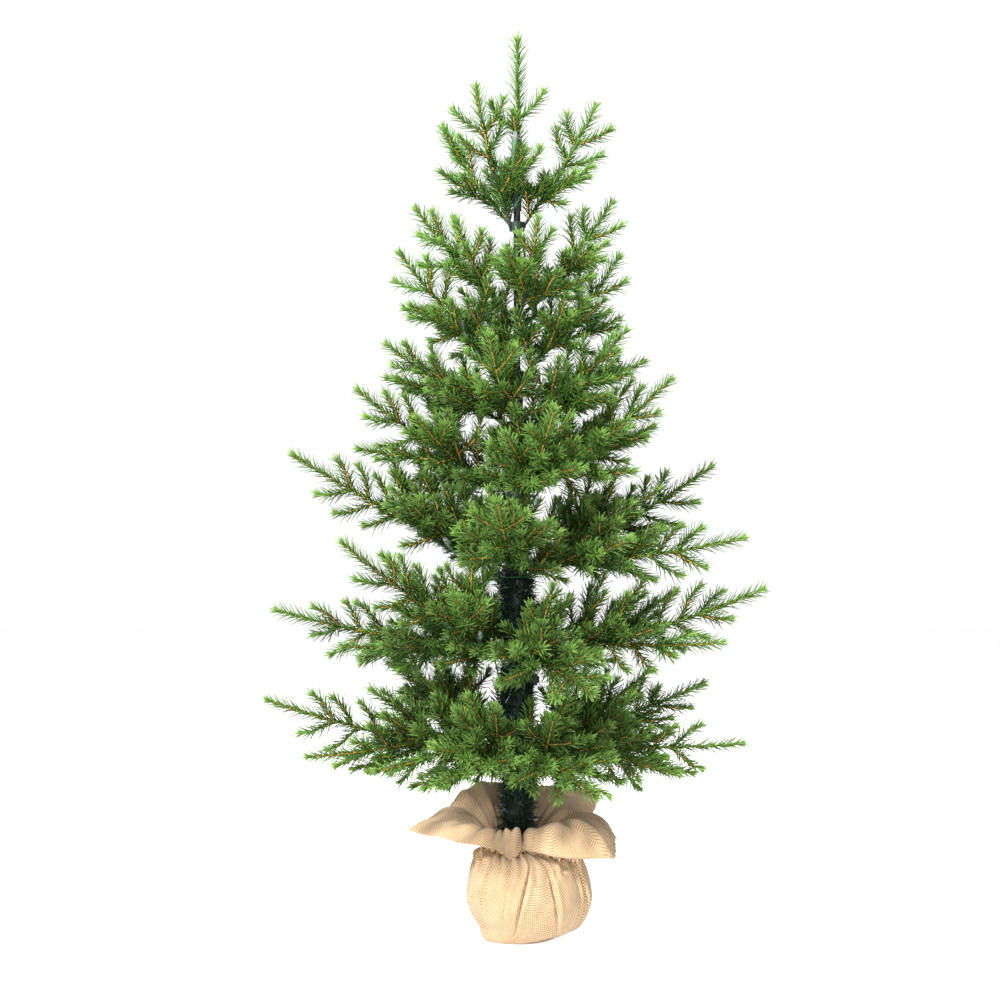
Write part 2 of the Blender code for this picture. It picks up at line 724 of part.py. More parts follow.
def make_leader():
    """The top shoot, pushed over the rod's end, with its pairs of prongs."""
    foot = ROD_TOP - LEADER_SOCKET
    outer = ROD_RADIUS + TOUCH_GAP + POLE_WALL
    bore = ROD_RADIUS + TOUCH_GAP
    top = ROD_TOP + TOUCH_GAP
    tip = foot + LEADER_LENGTH
    profile = (
        (bore, foot),
        (outer, foot),
        (outer, top + LEADER_SLEEVE_RISE),
        (SHOOT_BELLY_HALF, top + LEADER_SLEEVE_RISE + LEADER_TAPER),
        (SHOOT_BELLY_HALF, tip - LEADER_POINT),
        (SHOOT_TIP_HALF, tip),
        (0, tip),
        (0, top),
        (bore, top),
    )
    pieces = []
    for height, length, azimuth in LEADER_PRONGS:
        start = Vector((0, 0, top + height))
        pieces.append(shoot_mesh(start, start + direction(azimuth, LEADER_PRONG_RISE) * length))
    add_mesh("leader", combined(turned(profile, 10), pieces, "UNION"), "needles")


# --- Trunk garland ------------------------------------------------------------------


def make_garland():
    """Sleeves of tinsel wound on the lower pole between the collars."""
    inner = POLE_RADIUS + TOUCH_GAP
    outer = inner + GARLAND_DEPTH
    low = cement_top() + SOCKET_PROUD + GARLAND_CLEAR
    for tier in TIERS:
        if tier.height > POLE_TOP:
            break
        high = tier.height - COLLAR_BELOW - GARLAND_CLEAR
        add_mesh("garland_below_" + tier.name, tube(inner, outer, low, high, 14), "garland", smooth=True)
        low = tier.height + COLLAR_ABOVE + GARLAND_CLEAR


# --- Battery box --------------------------------------------------------------------


def case_front():
    """The Y of the box's front face, just behind the garland."""
    return POLE_RADIUS + TOUCH_GAP + GARLAND_DEPTH + CASE_OFF_GARLAND


def case_size():
    """Half width, depth from front to open back, and height."""
    half = 2 * CELL_RADIUS + 1.5 * CELL_CLEAR + CASE_WALL
    depth = CASE_WALL + 2 * (CELL_RADIUS + CELL_CLEAR)
    height = CELL_LENGTH + 2 * (CONTACT_ROOM + CASE_WALL)
    return half, depth, height


def case_foot():
    return TIERS[0].height + CASE_ABOVE_TIER


def make_case():
    half, depth, height = case_size()
    front = case_front()
    foot = case_foot()
    shell = block((-half, front, foot), (half, front + depth, foot + height))
    pocket = block(
        (-half + CASE_WALL, front + CASE_WALL, foot + CASE_WALL),
        (half - CASE_WALL, front + depth + OVERCUT, foot + height - CASE_WALL),
    )
    mouth, y, z = button_centre()
    boss_low = (half - CASE_WALL / 2, y - BOSS_SIDE / 2, z - BOSS_SIDE / 2)
    boss_high = (mouth, y + BOSS_SIDE / 2, z + BOSS_SIDE / 2)
    hole_start = (mouth + BUTTON_SEAT, y, z)
    hole = round_bar(hole_start, (-1, 0, 0), BUTTON_DEPTH, BUTTON_RADIUS + HINGE_GAP, 16)
    solid = combined(shell, [block(boss_low, boss_high)], "UNION")
    add_mesh("battery_case", combined(solid, [pocket, hole], "DIFFERENCE"), "case")


def button_centre():
    half, _, height = case_size()
    y = case_front() + BOSS_FROM_FRONT + BOSS_SIDE / 2
    z = case_foot() + height - BOSS_BELOW_TOP - BOSS_SIDE / 2
    return (half + BUTTON_DEPTH, y, z)


def make_button():
    """A push switch in a blind hole in the box's side."""
    mouth, y, z = button_centre()
    length = BUTTON_PROUD + BUTTON_DEPTH - BUTTON_SEAT - BUTTON_ROOM
    start = (mouth + BUTTON_PROUD, y, z)
    mesh = round_bar(start, (-1, 0, 0), length, BUTTON_RADIUS, 16)
    add_mesh("power_button", mesh, "button", origin=start, smooth=True)


def make_cover():
    """The lid over the open back; it slides down off the case."""
    half, depth, height = case_size()
    back = case_front() + depth + TOUCH_GAP
    foot = case_foot()
    cover = block((-half, back, foot), (half, back + COVER_THICKNESS, foot + height))
    add_mesh("battery_cover", cover, "case", origin=(0, back, foot))


def make_cells():
    foot = case_foot() + CASE_WALL + CONTACT_ROOM
    y = case_front() + CASE_WALL + CELL_CLEAR + CELL_RADIUS
    for name, hand in (("left", -1), ("right", 1)):
        x = hand * (CELL_RADIUS + CELL_CLEAR / 2)
        mesh = round_bar((x, y, foot), (0, 0, 1), CELL_LENGTH, CELL_RADIUS, 20)
        add_mesh("battery_cell_" + name, mesh, "cell", smooth=True)


def make_contact():
    """The sprung plate that joins the two cells at the box's foot."""
    half, _, _ = case_size()
    low = case_foot() + CASE_WALL + TOUCH_GAP
    front = case_front() + CASE_WALL + TOUCH_GAP
    depth = 2 * CELL_RADIUS - CONTACT_SHORT
    inset = half - CASE_WALL - CELL_CLEAR
    plate = block((-inset, front, low), (inset, front + depth, low + CONTACT_THICKNESS))
    rises = []
    y = case_front() + CASE_WALL + CELL_CLEAR + CELL_RADIUS
    length = CONTACT_ROOM - 2 * TOUCH_GAP - CONTACT_THICKNESS / 2
    for hand in (-1, 1):
        x = hand * (CELL_RADIUS + CELL_CLEAR / 2)
        start = (x, y, low + CONTACT_THICKNESS / 2)
        rises.append(round_bar(start, (0, 0, 1), length, CONTACT_SPRING_RADIUS, 12))
    add_mesh("battery_contact", combined(plate, rises, "UNION"), "contact")


# --- Light string -------------------------------------------------------------------


def lit_branches():
    """Each lit branch with its tier, its loop's reach, and its azimuth counted on upwards."""
    found = []
    turn = 90.0
    for name, reach, climb in LIT:
        for tier in TIERS:
            for part in tier.branches:
                if part.name != name:
                    continue
                azimuth = part.azimuth
                while azimuth < turn:
                    azimuth += 360
                turn = azimuth
                found.append((tier, part, reach, climb, azimuth))
    return found


def cord_route():
    """Up round the trunk in one direction, with a loop out under each lit branch and back."""
    exit_point = Vector((*CORD_EXIT, 0)) + Vector((0, case_front(), case_foot() - TOUCH_GAP))
    points = [exit_point, exit_point + Vector((-2 * MM, 0, -8 * MM))]
    last = None
    for tier, part, reach, climb, azimuth in lit_branches():
        level = tier.height - CORD_DROP
        radius = collar_radius(tier) + CORD_OFF_COLLAR
        if last is not None:
            points.extend(trunk_run(last, (azimuth, radius, level), climb))
        stem = stem_points(tier, part)
        outward = direction(azimuth, 0)
        side = Vector((0, 0, 1)).cross(outward)
        drop = Vector((0, 0, -CORD_DROP))
        for share, spread in CORD_LOOP:
            place, _ = along(stem, reach * share)
            points.append(place + drop + side * spread * CORD_SPREAD)
        last = (azimuth, radius, level)
    return points


def trunk_run(start, end, climb):
    """Points round the trunk from one branch to the next."""
    from_azimuth, from_radius, from_level = start
    to_azimuth, to_radius, to_level = end
    swing = to_azimuth - from_azimuth
    count = max(2, round(swing / CORD_TURN))
    points = []
    for index in range(count + 1):
        share = (index + 0.4) / (count + 0.8)
        eased = share**climb
        radius = from_radius + (to_radius - from_radius) * share
        level = from_level + (to_level - from_level) * eased
        points.append(direction(from_azimuth + swing * share, 0) * radius + Vector((0, 0, level)))
    return points


def make_cord():
    route = cord_route()
    curve = bpy.data.curves.new("light_cord", "CURVE")
    curve.dimensions = "3D"
    curve.bevel_depth = CORD_RADIUS
    curve.bevel_resolution = 2
    curve.use_fill_caps = True
    spline = curve.splines.new("POLY")
    spline.points.add(len(route) - 1)
    for point, place in zip(spline.points, route):
        point.co = (*place, 1.0)
    curve.materials.append(material("cord"))
    made = bpy.data.objects.new("light_cord", curve)
    bpy.context.scene.collection.objects.link(made)


def main():
    for existing in list(bpy.data.objects):
        bpy.data.objects.remove(existing, do_unlink=True)
    make_pot()
    make_cement()
    make_socket()
    make_burlap()
    make_twine()
    make_pole()
    make_rod()
    for tier in TIERS:
        make_collar(tier)
        for part in tier.branches:
            make_branch(tier, part)
    make_leader()
    make_garland()
    make_case()
    make_cover()
    make_button()
    make_cells()
    make_contact()
    make_cord()


main()
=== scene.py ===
"""The looks of the artificial tabletop tree: moulded needle sprays, tinsel on the trunk, a
gathered burlap wrap with frayed edges, and a light string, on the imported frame.

Metres, +Z up, the front faces -Y. Azimuths turn counter-clockwise from +X, seen from above.
"""

import json
import math

import bpy
import numpy as np
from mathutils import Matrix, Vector


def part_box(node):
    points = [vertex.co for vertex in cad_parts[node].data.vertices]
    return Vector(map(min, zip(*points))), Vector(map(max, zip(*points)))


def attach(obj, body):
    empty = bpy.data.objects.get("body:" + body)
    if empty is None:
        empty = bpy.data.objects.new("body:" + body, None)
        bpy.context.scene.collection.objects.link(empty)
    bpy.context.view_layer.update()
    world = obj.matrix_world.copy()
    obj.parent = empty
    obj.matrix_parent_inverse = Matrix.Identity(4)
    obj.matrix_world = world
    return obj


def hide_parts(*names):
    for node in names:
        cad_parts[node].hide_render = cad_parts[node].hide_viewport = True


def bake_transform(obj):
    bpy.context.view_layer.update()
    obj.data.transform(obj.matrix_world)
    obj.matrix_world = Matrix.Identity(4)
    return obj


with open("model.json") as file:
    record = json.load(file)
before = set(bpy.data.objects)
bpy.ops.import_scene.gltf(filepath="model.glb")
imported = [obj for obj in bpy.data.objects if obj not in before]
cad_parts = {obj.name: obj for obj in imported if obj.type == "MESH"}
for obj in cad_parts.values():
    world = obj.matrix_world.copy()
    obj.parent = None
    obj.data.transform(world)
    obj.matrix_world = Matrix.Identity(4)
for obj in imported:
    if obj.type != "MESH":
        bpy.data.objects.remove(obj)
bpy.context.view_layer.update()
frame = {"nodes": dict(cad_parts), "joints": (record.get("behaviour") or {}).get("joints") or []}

MM = 0.001
TAU = 2 * math.pi
UP = np.array((0.0, 0.0, 1.0))

# --- The branches, as the CAD model has them ---
END = -1.0  # in place of a distance: the wire's end
SPRAY_LIFT = 8  # degrees that a spray curves up over its length
PRONG_ANGLE = 40
PRONG_LENGTH = 46 * MM
FORK_FROM_TIP = 76 * MM
FORK_SHARE = 0.42
POLE_TOP = 538 * MM
ROD_TOP = 735 * MM

# name: rise, length in mm, bend, and its sprays as (at in mm, yaw, pitch, length in mm, roll)
BRANCHES = {
    "h_left": (2, 104, 6, ((END, -2, 4, 148, 55), (80, 24, -14, 138, 30), (54, -30, 20, 112, -20),
                           (40, 38, -16, 128, 20))),
    "h_front_left": (-4, 78, -4, ((END, 0, -6, 90, 20), (38, 22, -4, 84, 15), (50, -20, 12, 80, -15))),
    "h_front_right": (-7, 72, -4, ((END, 0, -10, 88, -15), (38, -20, 0, 76, -20), (50, 30, 6, 84, 20))),
    "h_right": (0, 82, 0, ((END, 0, -2, 140, 50), (44, 20, 2, 112, 30), (60, -26, -16, 112, 20))),
    "h_back_right": (10, 104, 2, ((END, 0, 0, 132, 20), (46, 32, 8, 96, 10), (56, -16, 22, 108, 20))),
    "h_back_left": (24, 92, 4, ((END, 0, 4, 124, 30), (50, 30, 10, 104, 20), (60, -30, 8, 96, -10))),
    "g_left": (12, 104, -4, ((END, 0, 0, 142, 35), (60, 26, -12, 118, 10), (46, -32, 14, 100, 20))),
    "g_front_left": (26, 96, 4, ((END, -4, 2, 130, 30), (40, 34, 6, 96, 10), (54, -26, 14, 122, 0))),
    "g_front_right": (2, 80, -6, ((END, 6, -14, 100, 20), (36, -34, 8, 84, 10), (48, 30, 4, 84, -20))),
    "g_right": (10, 108, 4, ((END, 4, 2, 146, 30), (48, 30, 12, 128, 30), (72, -18, -14, 140, 20))),
    "g_back": (20, 104, 6, ((END, 0, 4, 122, 0), (40, 32, 6, 92, 0), (52, -34, 6, 92, 0))),
    "f_left": (24, 108, 4, ((END, 0, -2, 142, 48), (62, 26, 10, 96, 10), (48, -14, 20, 104, 20))),
    "f_front": (14, 64, 6, ((END, 0, 12, 92, 0), (30, 36, 14, 80, 0), (38, -36, 10, 80, 0))),
    "f_right_low": (6, 96, 0, ((END, 6, 0, 132, 45), (42, -30, 8, 96, 15), (58, 26, 12, 96, 10))),
    "f_right": (22, 106, 2, ((END, -2, 2, 132, 40), (40, 32, 12, 104, 10), (56, -28, 10, 112, 20))),
    "f_back_left": (28, 92, 4, ((END, 0, 4, 112, 20), (40, 26, 8, 84, 10), (52, -34, 8, 88, -10))),
    "e_left": (32, 88, 2, ((END, 0, -2, 102, 30), (42, -24, 22, 110, -30), (56, 32, 4, 84, 10))),
    "e_front_right": (24, 56, 8, ((END, 0, 10, 86, 20), (28, 36, 12, 74, 0), (36, -36, 12, 76, 0))),
    "e_right": (34, 80, 4, ((END, -2, -2, 112, 40), (38, 18, 12, 128, -20), (52, -28, -6, 92, 10))),
    "e_back": (32, 80, 4, ((END, 0, 4, 96, 0), (34, 34, 8, 78, 0), (46, -34, 8, 78, 0))),
    "d_left": (32, 70, 0, ((END, 0, 0, 84, 30), (34, 30, -8, 70, 10))),
    "d_front": (34, 40, 8, ((END, 0, 10, 82, 10), (26, -38, 6, 66, 0))),
    "d_right": (38, 62, 2, ((END, 0, 0, 86, 30), (36, 30, -6, 78, 15))),
    "c_left": (40, 78, 4, ((END, -4, 2, 96, 35), (38, -34, -6, 80, 20))),
    "c_right": (46, 66, 2, ((END, 0, 2, 98, 35), (36, -36, 4, 76, 20))),
    "c_back": (48, 52, 4, ((END, 0, 2, 82, 0), (30, 34, 4, 66, 0))),
    "b_left": (46, 60, 0, ((END, 0, 0, 92, 30), (34, 27, 17, 86, 14))),
    "b_front": (48, 38, 6, ((END, 0, 8, 76, 20), (24, -36, 6, 60, 0))),
    "b_right": (50, 64, -2, ((END, 0, 0, 94, 35), (34, -24, -12, 84, 20))),
    "a_left_high": (68, 58, 2, ((END, 0, 2, 92, 40),)),
    "a_left_low": (44, 58, 4, ((END, 0, 2, 90, 30), (26, -40, 4, 60, 0))),
    "a_right": (54, 64, 0, ((END, 0, 2, 94, 40), (30, -38, -14, 72, 0))),
}
# The leader's side shoots: height over the rod's end and length in mm, and azimuth.
LEADER_PRONGS = ((22, 44, 335), (14, 50, 185), (78, 46, 5), (66, 46, 175))
LEADER_PRONG_RISE = 50
LEADER_SHOOTS = ((34, 40, 80), (60, 40, 260))
LEADER_SHOOT_RISE = 48
# More sprays on the same wires, for the looks alone, in the same terms.
FILLING = {
    "h_left": ((30, -20, 44, 84, 10), (70, 10, -26, 96, 20)),
    "h_right": ((40, 6, 34, 92, 10), (70, 18, -20, 110, 0)),
    "h_back_right": ((30, -10, 46, 84, 10),),
    "h_front_left": ((30, -16, 54, 80, 10),),
    "h_front_right": ((30, 16, 54, 80, 10),),
    "g_left": ((62, -14, -22, 100, 20), (20, -10, 58, 84, 0)),
    "g_front_left": ((24, -30, 40, 84, 0), (50, 12, 56, 96, 10)),
    "g_front_right": ((30, 12, 58, 90, 10),),
    "g_right": ((40, 10, 48, 92, 10), (72, -10, 36, 88, 0)),
    "f_left": ((60, -10, 40, 104, 10), (30, 14, 46, 80, 10), (92, -12, 34, 84, 10)),
    "f_front": ((30, 30, 56, 84, 10), (42, -24, 48, 80, 10)),
    "f_right": ((50, 10, 42, 96, 10), (30, -20, 30, 84, 10)),
    "f_right_low": ((50, 0, 36, 90, 10),),
    "e_left": ((60, 10, -30, 108, 10), (30, -30, -16, 84, 0)),
    "e_front_right": ((30, -20, -34, 70, 10), (40, 24, -26, 76, 10)),
    "e_right": ((30, -20, -34, 96, 10), (60, 24, -16, 96, 0)),
    "d_left": ((50, -12, -20, 90, 10),),
    "d_right": ((46, 22, -18, 96, 10), (24, -10, -30, 80, 0)),
    "c_left": ((60, 10, -24, 76, 10),),
    "c_right": ((44, 14, -30, 84, 10),),
}

# Shorter sprays near the trunk, and how much lighter than the rest a tier is painted, by tier: painted
# light, upper tiers lighter and lower ones darker.
INNER_SPRAYS = {"a": 2, "b": 3, "c": 5, "d": 6, "e": 9, "f": 9, "g": 9, "h": 9}
TIER_PAINTED_LIGHT = {
    "a": 0.20, "b": 0.18, "c": 0.10, "d": -0.02, "e": -0.10, "f": -0.16, "g": -0.16, "h": -0.16,
}
FORK_TO_SHOOTS = 22 * MM  # from a spray's fork to the next side shoots behind it
SHOOTS_APART = 25 * MM
OPEN_SHOOTS_APART = 40 * MM  # in the upper tiers
SHOOT_STAGGER = 3 * MM
FIRST_SHOOT = 4 * MM  # no side shoots closer to a spray's root than this

# --- Needles ---
NEEDLE_LENGTH = 13.6 * MM
NEEDLE_WIDTH = 1.75 * MM
NEEDLE_STEP = 0.80 * MM  # along a shoot from one needle to the next
NEEDLE_LEAN = 47  # degrees between a needle and its shoot
LEADER_NEEDLE = 15.5 * MM
NEEDLE_TAPER = 0.42
ROOT_PAINTED_SHADE = 0.35  # a needle's root is painted darker than its end: painted shade where the needles crowd round the core
ROOT_FRESH = 0.3
END_FRESH = 0.22
TIP_LENGTH = 8 * MM  # from the end of a shoot's core to the tips of its last needles
TIP_CLOSES = 9 * MM  # over this length needles lean in towards the tip
ROOT_OPENS = 7 * MM  # over this length they grow to full size
TUFT_NEEDLES = 12
SHOOT_CORE = 1.0 * MM
WIRE_RADIUS = 1.5 * MM
BARE_WIRE = 12 * MM
EYE_RADIUS = 2.2 * MM  # the wire's hooked end, at its hinge
EYE_WIDTH = 3 * MM
GOLDEN_ANGLE = 2.399963

# What a vertex of greenery is: how light it is, how near a tip, and how much it is stem.
NEEDLE_KIND = 0.0
WIRE_KIND = 0.5
STEM_KIND = 1.0


def unit(vectors):
    vectors = np.asarray(vectors, float)
    return vectors / np.maximum(np.linalg.norm(vectors, axis=-1, keepdims=True), 1e-12)


def direction(azimuth, rise):
    a = math.radians(azimuth)
    r = math.radians(rise)
    return np.array((math.cos(r) * math.cos(a), math.cos(r) * math.sin(a), math.sin(r)))


def side_and_up(forward):
    side = np.cross(UP, forward)
    if np.linalg.norm(side) < 1e-6:
        side = np.array((1.0, 0.0, 0.0))
    side = unit(side)
    return side, np.cross(forward, side)


def smooth_line(points, per_span):
    """A Catmull-Rom curve through points, evenly sampled in each span."""
    points = np.asarray(points, float)
    padded = np.vstack((2 * points[0] - points[1], points, 2 * points[-1] - points[-2]))
    out = []
    for index in range(len(points) - 1):
        a, b, c, d = padded[index : index + 4]
        for step in range(per_span):
            t = step / per_span
            square = 2 * a - 5 * b + 4 * c - d
            cube = 3 * b - a - 3 * c + d
            out.append(0.5 * (2 * b + (c - a) * t + square * t * t + cube * t**3))
    out.append(points[-1])
    return np.array(out)


def resample(points, step):
    """Points along a line at an even step, with their headings and the line's length."""
    points = np.asarray(points, float)
    spans = np.linalg.norm(np.diff(points, axis=0), axis=1)
    at = np.concatenate(((0.0,), np.cumsum(spans)))
    count = max(2, int(round(at[-1] / step)) + 1)
    wanted = np.linspace(0, at[-1], count)
    out = np.column_stack([np.interp(wanted, at, points[:, k]) for k in range(3)])
    return out, unit(np.gradient(out, axis=0)), at[-1]


def along(points, distance):
    points = np.asarray(points, float)
    for before, after in zip(points, points[1:]):
        step = np.linalg.norm(after - before)
        if distance <= step:
            return before + (after - before) * distance / step, (after - before) / step
        distance -= step
    last = points[-1] - points[-2]
    return points[-1], last / np.linalg.norm(last)


def placed(name, data):
    made = bpy.data.objects.new(name, data)
    bpy.context.scene.collection.objects.link(made)
    return made


# --- Mesh gathering ---


class Greenery:
    """Vertices and faces of many small closed shapes, with a colour for each vertex."""

    def __init__(self):
        self.verts = []
        self.tris = []
        self.quads = []
        self.kinds = []
        self.count = 0

    def add(self, verts, tris, quads, kinds):
        self.verts.append(verts)
        self.kinds.append(kinds)
        if len(tris):
            self.tris.append(np.asarray(tris) + self.count)
        if len(quads):
            self.quads.append(np.asarray(quads) + self.count)
        self.count += len(verts)

    def needles(self, base, heading, forward, length, width, tone, tip, curl=0.1, flat=0.45):
        """Blunt three-sided blades: each leaves at its heading and leans towards forward."""
        n = len(base)
        heading = unit(heading)
        across = unit(np.cross(heading, forward) + 1e-6)
        top = np.cross(across, heading)
        length = length[:, None]
        half = width[:, None] / 2
        end = base + unit(heading + forward * curl) * length
        verts = np.empty((n, 6, 3))
        for index, offset in enumerate((across, -across, top * flat * 2)):
            verts[:, index] = base + offset * half
            verts[:, index + 3] = end + offset * half * NEEDLE_TAPER
        first = np.arange(n)[:, None] * 6
        quads = []
        tris = [first + np.array((0, 2, 1)), first + np.array((3, 4, 5))]
        for index in range(3):
            after = (index + 1) % 3
            quads.append(first + np.array((index, after, after + 3, index + 3)))
        kinds = np.ones((n, 6, 4))
        kinds[:, :, 0] = tone[:, None]
        kinds[:, :, 1] = tip[:, None]
        kinds[:, :, 2] = NEEDLE_KIND
        # Painted shade at each needle's root.
        kinds[:, :3, 0] *= ROOT_PAINTED_SHADE
        kinds[:, :3, 1] *= ROOT_FRESH
        kinds[:, 3:, 1] = np.minimum(1, kinds[:, 3:, 1] + END_FRESH)
        self.add(verts.reshape(-1, 3), np.vstack(tris), np.vstack(quads), kinds.reshape(-1, 4))

    def tube(self, points, radii, sides=6, kind=STEM_KIND, tone=0.5):
        """A closed tube along points."""
        points = np.asarray(points, float)
        headings = unit(np.gradient(points, axis=0))
        radii = np.broadcast_to(radii, len(points))
        side, up = side_and_up(headings[0])
        verts = []
        for point, heading, radius in zip(points, headings, radii):
            side = unit(side - heading * np.dot(side, heading))
            up = np.cross(heading, side)
            for index in range(sides):
                angle = TAU * index / sides
                verts.append(point + radius * (side * math.cos(angle) + up * math.sin(angle)))
        quads = []
        for ring in range(len(points) - 1):
            for index in range(sides):
                after = (index + 1) % sides
                low = ring * sides
                quads.append((low + index, low + after, low + sides + after, low + sides + index))
        last = len(verts)
        top = last - sides
        verts.extend((points[0], points[-1]))
        tris = []
        for index in range(sides):
            after = (index + 1) % sides
            tris.append((last, after, index))
            tris.append((last + 1, top + index, top + after))
        kinds = np.ones((len(verts), 4))
        kinds[:, 0] = tone
        kinds[:, 1] = 0.0
        kinds[:, 2] = kind
        self.add(np.array(verts), tris, quads, kinds)

    def build(self, name, surface):
        verts = np.vstack(self.verts)
        tris = np.vstack(self.tris) if self.tris else np.empty((0, 3), int)
        quads = np.vstack(self.quads) if self.quads else np.empty((0, 4), int)
        mesh = bpy.data.meshes.new(name)
        mesh.vertices.add(len(verts))
        mesh.vertices.foreach_set("co", verts.astype(np.float32).ravel())
        loops = np.concatenate((tris.ravel(), quads.ravel())).astype(np.int32)
        mesh.loops.add(len(loops))
        mesh.loops.foreach_set("vertex_index", loops)
        starts = np.concatenate((np.arange(len(tris)) * 3, len(tris) * 3 + np.arange(len(quads)) * 4))
        mesh.polygons.add(len(starts))
        mesh.polygons.foreach_set("loop_start", starts.astype(np.int32))
        mesh.update(calc_edges=True)
        layer = mesh.color_attributes.new("leaf", "FLOAT_COLOR", "POINT")
        layer.data.foreach_set("color", np.vstack(self.kinds).astype(np.float32).ravel())
        mesh.shade_smooth()
        mesh.set_sharp_from_angle(angle=math.radians(50))
        mesh.materials.append(surface)
        return placed(name, mesh)


# --- Materials ---


def put(node, **values):
    """Sets a node's own sockets; an underscore stands for a space."""
    for key, value in values.items():
        node.inputs[key.replace("_", " ")].default_value = value


class Nodes:
    """Short hand for building one material's nodes."""

    def __init__(self, name):
        self.material = bpy.data.materials.new(name)
        self.material.use_nodes = True
        self.tree = self.material.node_tree
        self.shader = self.tree.nodes["Principled BSDF"]

    def add(self, kind, **settings):
        node = self.tree.nodes.new(kind)
        for key, value in settings.items():
            setattr(node, key, value)
        return node

    def link(self, source, target):
        self.tree.links.new(source, target)

    def object_place(self):
        return self.add("ShaderNodeTexCoord").outputs["Object"]

    def base(self, colour):
        self.link(colour, self.shader.inputs["Base Color"])

    def leaf(self):
        """What greenery stores at its vertices: how light, how near a tip, and its kind."""
        stored = self.add("ShaderNodeAttribute", attribute_name="leaf")
        parts = self.add("ShaderNodeSeparateColor")
        self.link(stored.outputs["Color"], parts.inputs["Color"])
        return [parts.outputs[key] for key in ("Red", "Green", "Blue")]

    def noise(self, scale, detail=3.0, place=None):
        node = self.add("ShaderNodeTexNoise")
        put(node, Scale=scale, Detail=detail)
        self.link(place or self.object_place(), node.inputs["Vector"])
        return node.outputs["Fac"]

    def ramp(self, source, stops):
        node = self.add("ShaderNodeValToRGB")
        elements = node.color_ramp.elements
        while len(elements) < len(stops):
            elements.new(0.5)
        for element, (place, colour) in zip(elements, stops):
            element.position = place
            element.color = (*colour, 1.0)
        self.link(source, node.inputs["Fac"])
        return node.outputs["Color"]

    def math(self, operation, first, second):
        node = self.add("ShaderNodeMath", operation=operation)
        for socket, value in zip(node.inputs, (first, second)):
            if isinstance(value, (int, float)):
                socket.default_value = value
            else:
                self.link(value, socket)
        return node.outputs[0]

    def mix(self, share, first, second, blend="MIX"):
        node = self.add("ShaderNodeMix", data_type="RGBA", blend_type=blend)
        for key, value in (("Factor", share), ("A", first), ("B", second)):
            socket = [s for s in node.inputs if s.name == key and s.enabled][0]
            if isinstance(value, (int, float)):
                socket.default_value = value
            elif isinstance(value, tuple):
                socket.default_value = (*value, 1.0)
            else:
                self.link(value, socket)
        return [s for s in node.outputs if s.enabled][0]

    def bump(self, height, strength, distance):
        node = self.add("ShaderNodeBump")
        put(node, Strength=strength, Distance=distance)
        self.link(height, node.inputs["Height"])
        self.link(node.outputs["Normal"], self.shader.inputs["Normal"])

    def roughness(self, source, low, high):
        node = self.add("ShaderNodeMapRange")
        put(node, To_Min=low, To_Max=high)
        self.link(source, node.inputs["Value"])
        self.link(node.outputs["Result"], self.shader.inputs["Roughness"])


def needle_material():
    n = Nodes("moulded_needles")
    tone, tip, kind = n.leaf()
    patches = n.noise(38.0, 2.0)
    mixed = n.math("ADD", n.math("MULTIPLY", tone, 0.7), n.math("MULTIPLY", patches, 0.3))
    green = n.ramp(mixed, (
        (0.0, (0.003, 0.013, 0.002)),
        (0.3, (0.011, 0.050, 0.004)),
        (0.6, (0.056, 0.190, 0.016)),
        (1.0, (0.225, 0.450, 0.080)),
    ))
    fresh = n.mix(n.math("MULTIPLY", tip, 0.7), green, (0.330, 0.560, 0.125))
    wood = n.ramp(kind, (
        (0.25, (0.02, 0.05, 0.02)),
        (0.5, (0.030, 0.045, 0.028)),
        (0.8, (0.50, 0.24, 0.03)),
        (1.0, (0.66, 0.34, 0.05)),
    ))
    is_stem = n.math("GREATER_THAN", kind, 0.25)
    n.base(n.mix(is_stem, fresh, wood))
    n.roughness(n.noise(900.0), 0.42, 0.56)
    n.bump(n.noise(1500.0, 1.0), 0.15, 0.0002)
    put(n.shader, Specular_IOR_Level=0.18)
    return n.material


def plain_material(name, dark, light, scale, low, high, metallic=0.0, bump=0.2):
    """Moulded plastic, metal or cement: two tones in soft patches, with fine surface grain."""
    n = Nodes(name)
    n.base(n.ramp(n.noise(scale, 4.0), ((0.35, dark), (0.65, light))))
    n.roughness(n.noise(scale * 6), low, high)
    n.bump(n.noise(scale * 12, 2.0), bump, 0.0002)
    put(n.shader, Metallic=metallic)
    return n.material


def garland_material():
    n = Nodes("pvc_tinsel")
    # The strips are mostly the film's own dark green; a high tone paints them pale grey-green, as
    # painted highlights of the film's shine.
    n.base(n.ramp(n.leaf()[0], (
        (0.0, (0.004, 0.018, 0.009)),
        (0.55, (0.012, 0.040, 0.020)),
        (1.0, (0.180, 0.280, 0.190)),
    )))
    n.roughness(n.noise(600.0), 0.22, 0.42)
    n.bump(n.noise(1200.0, 1.0), 0.1, 0.0002)
    return n.material


# --- Sprays and branches ---


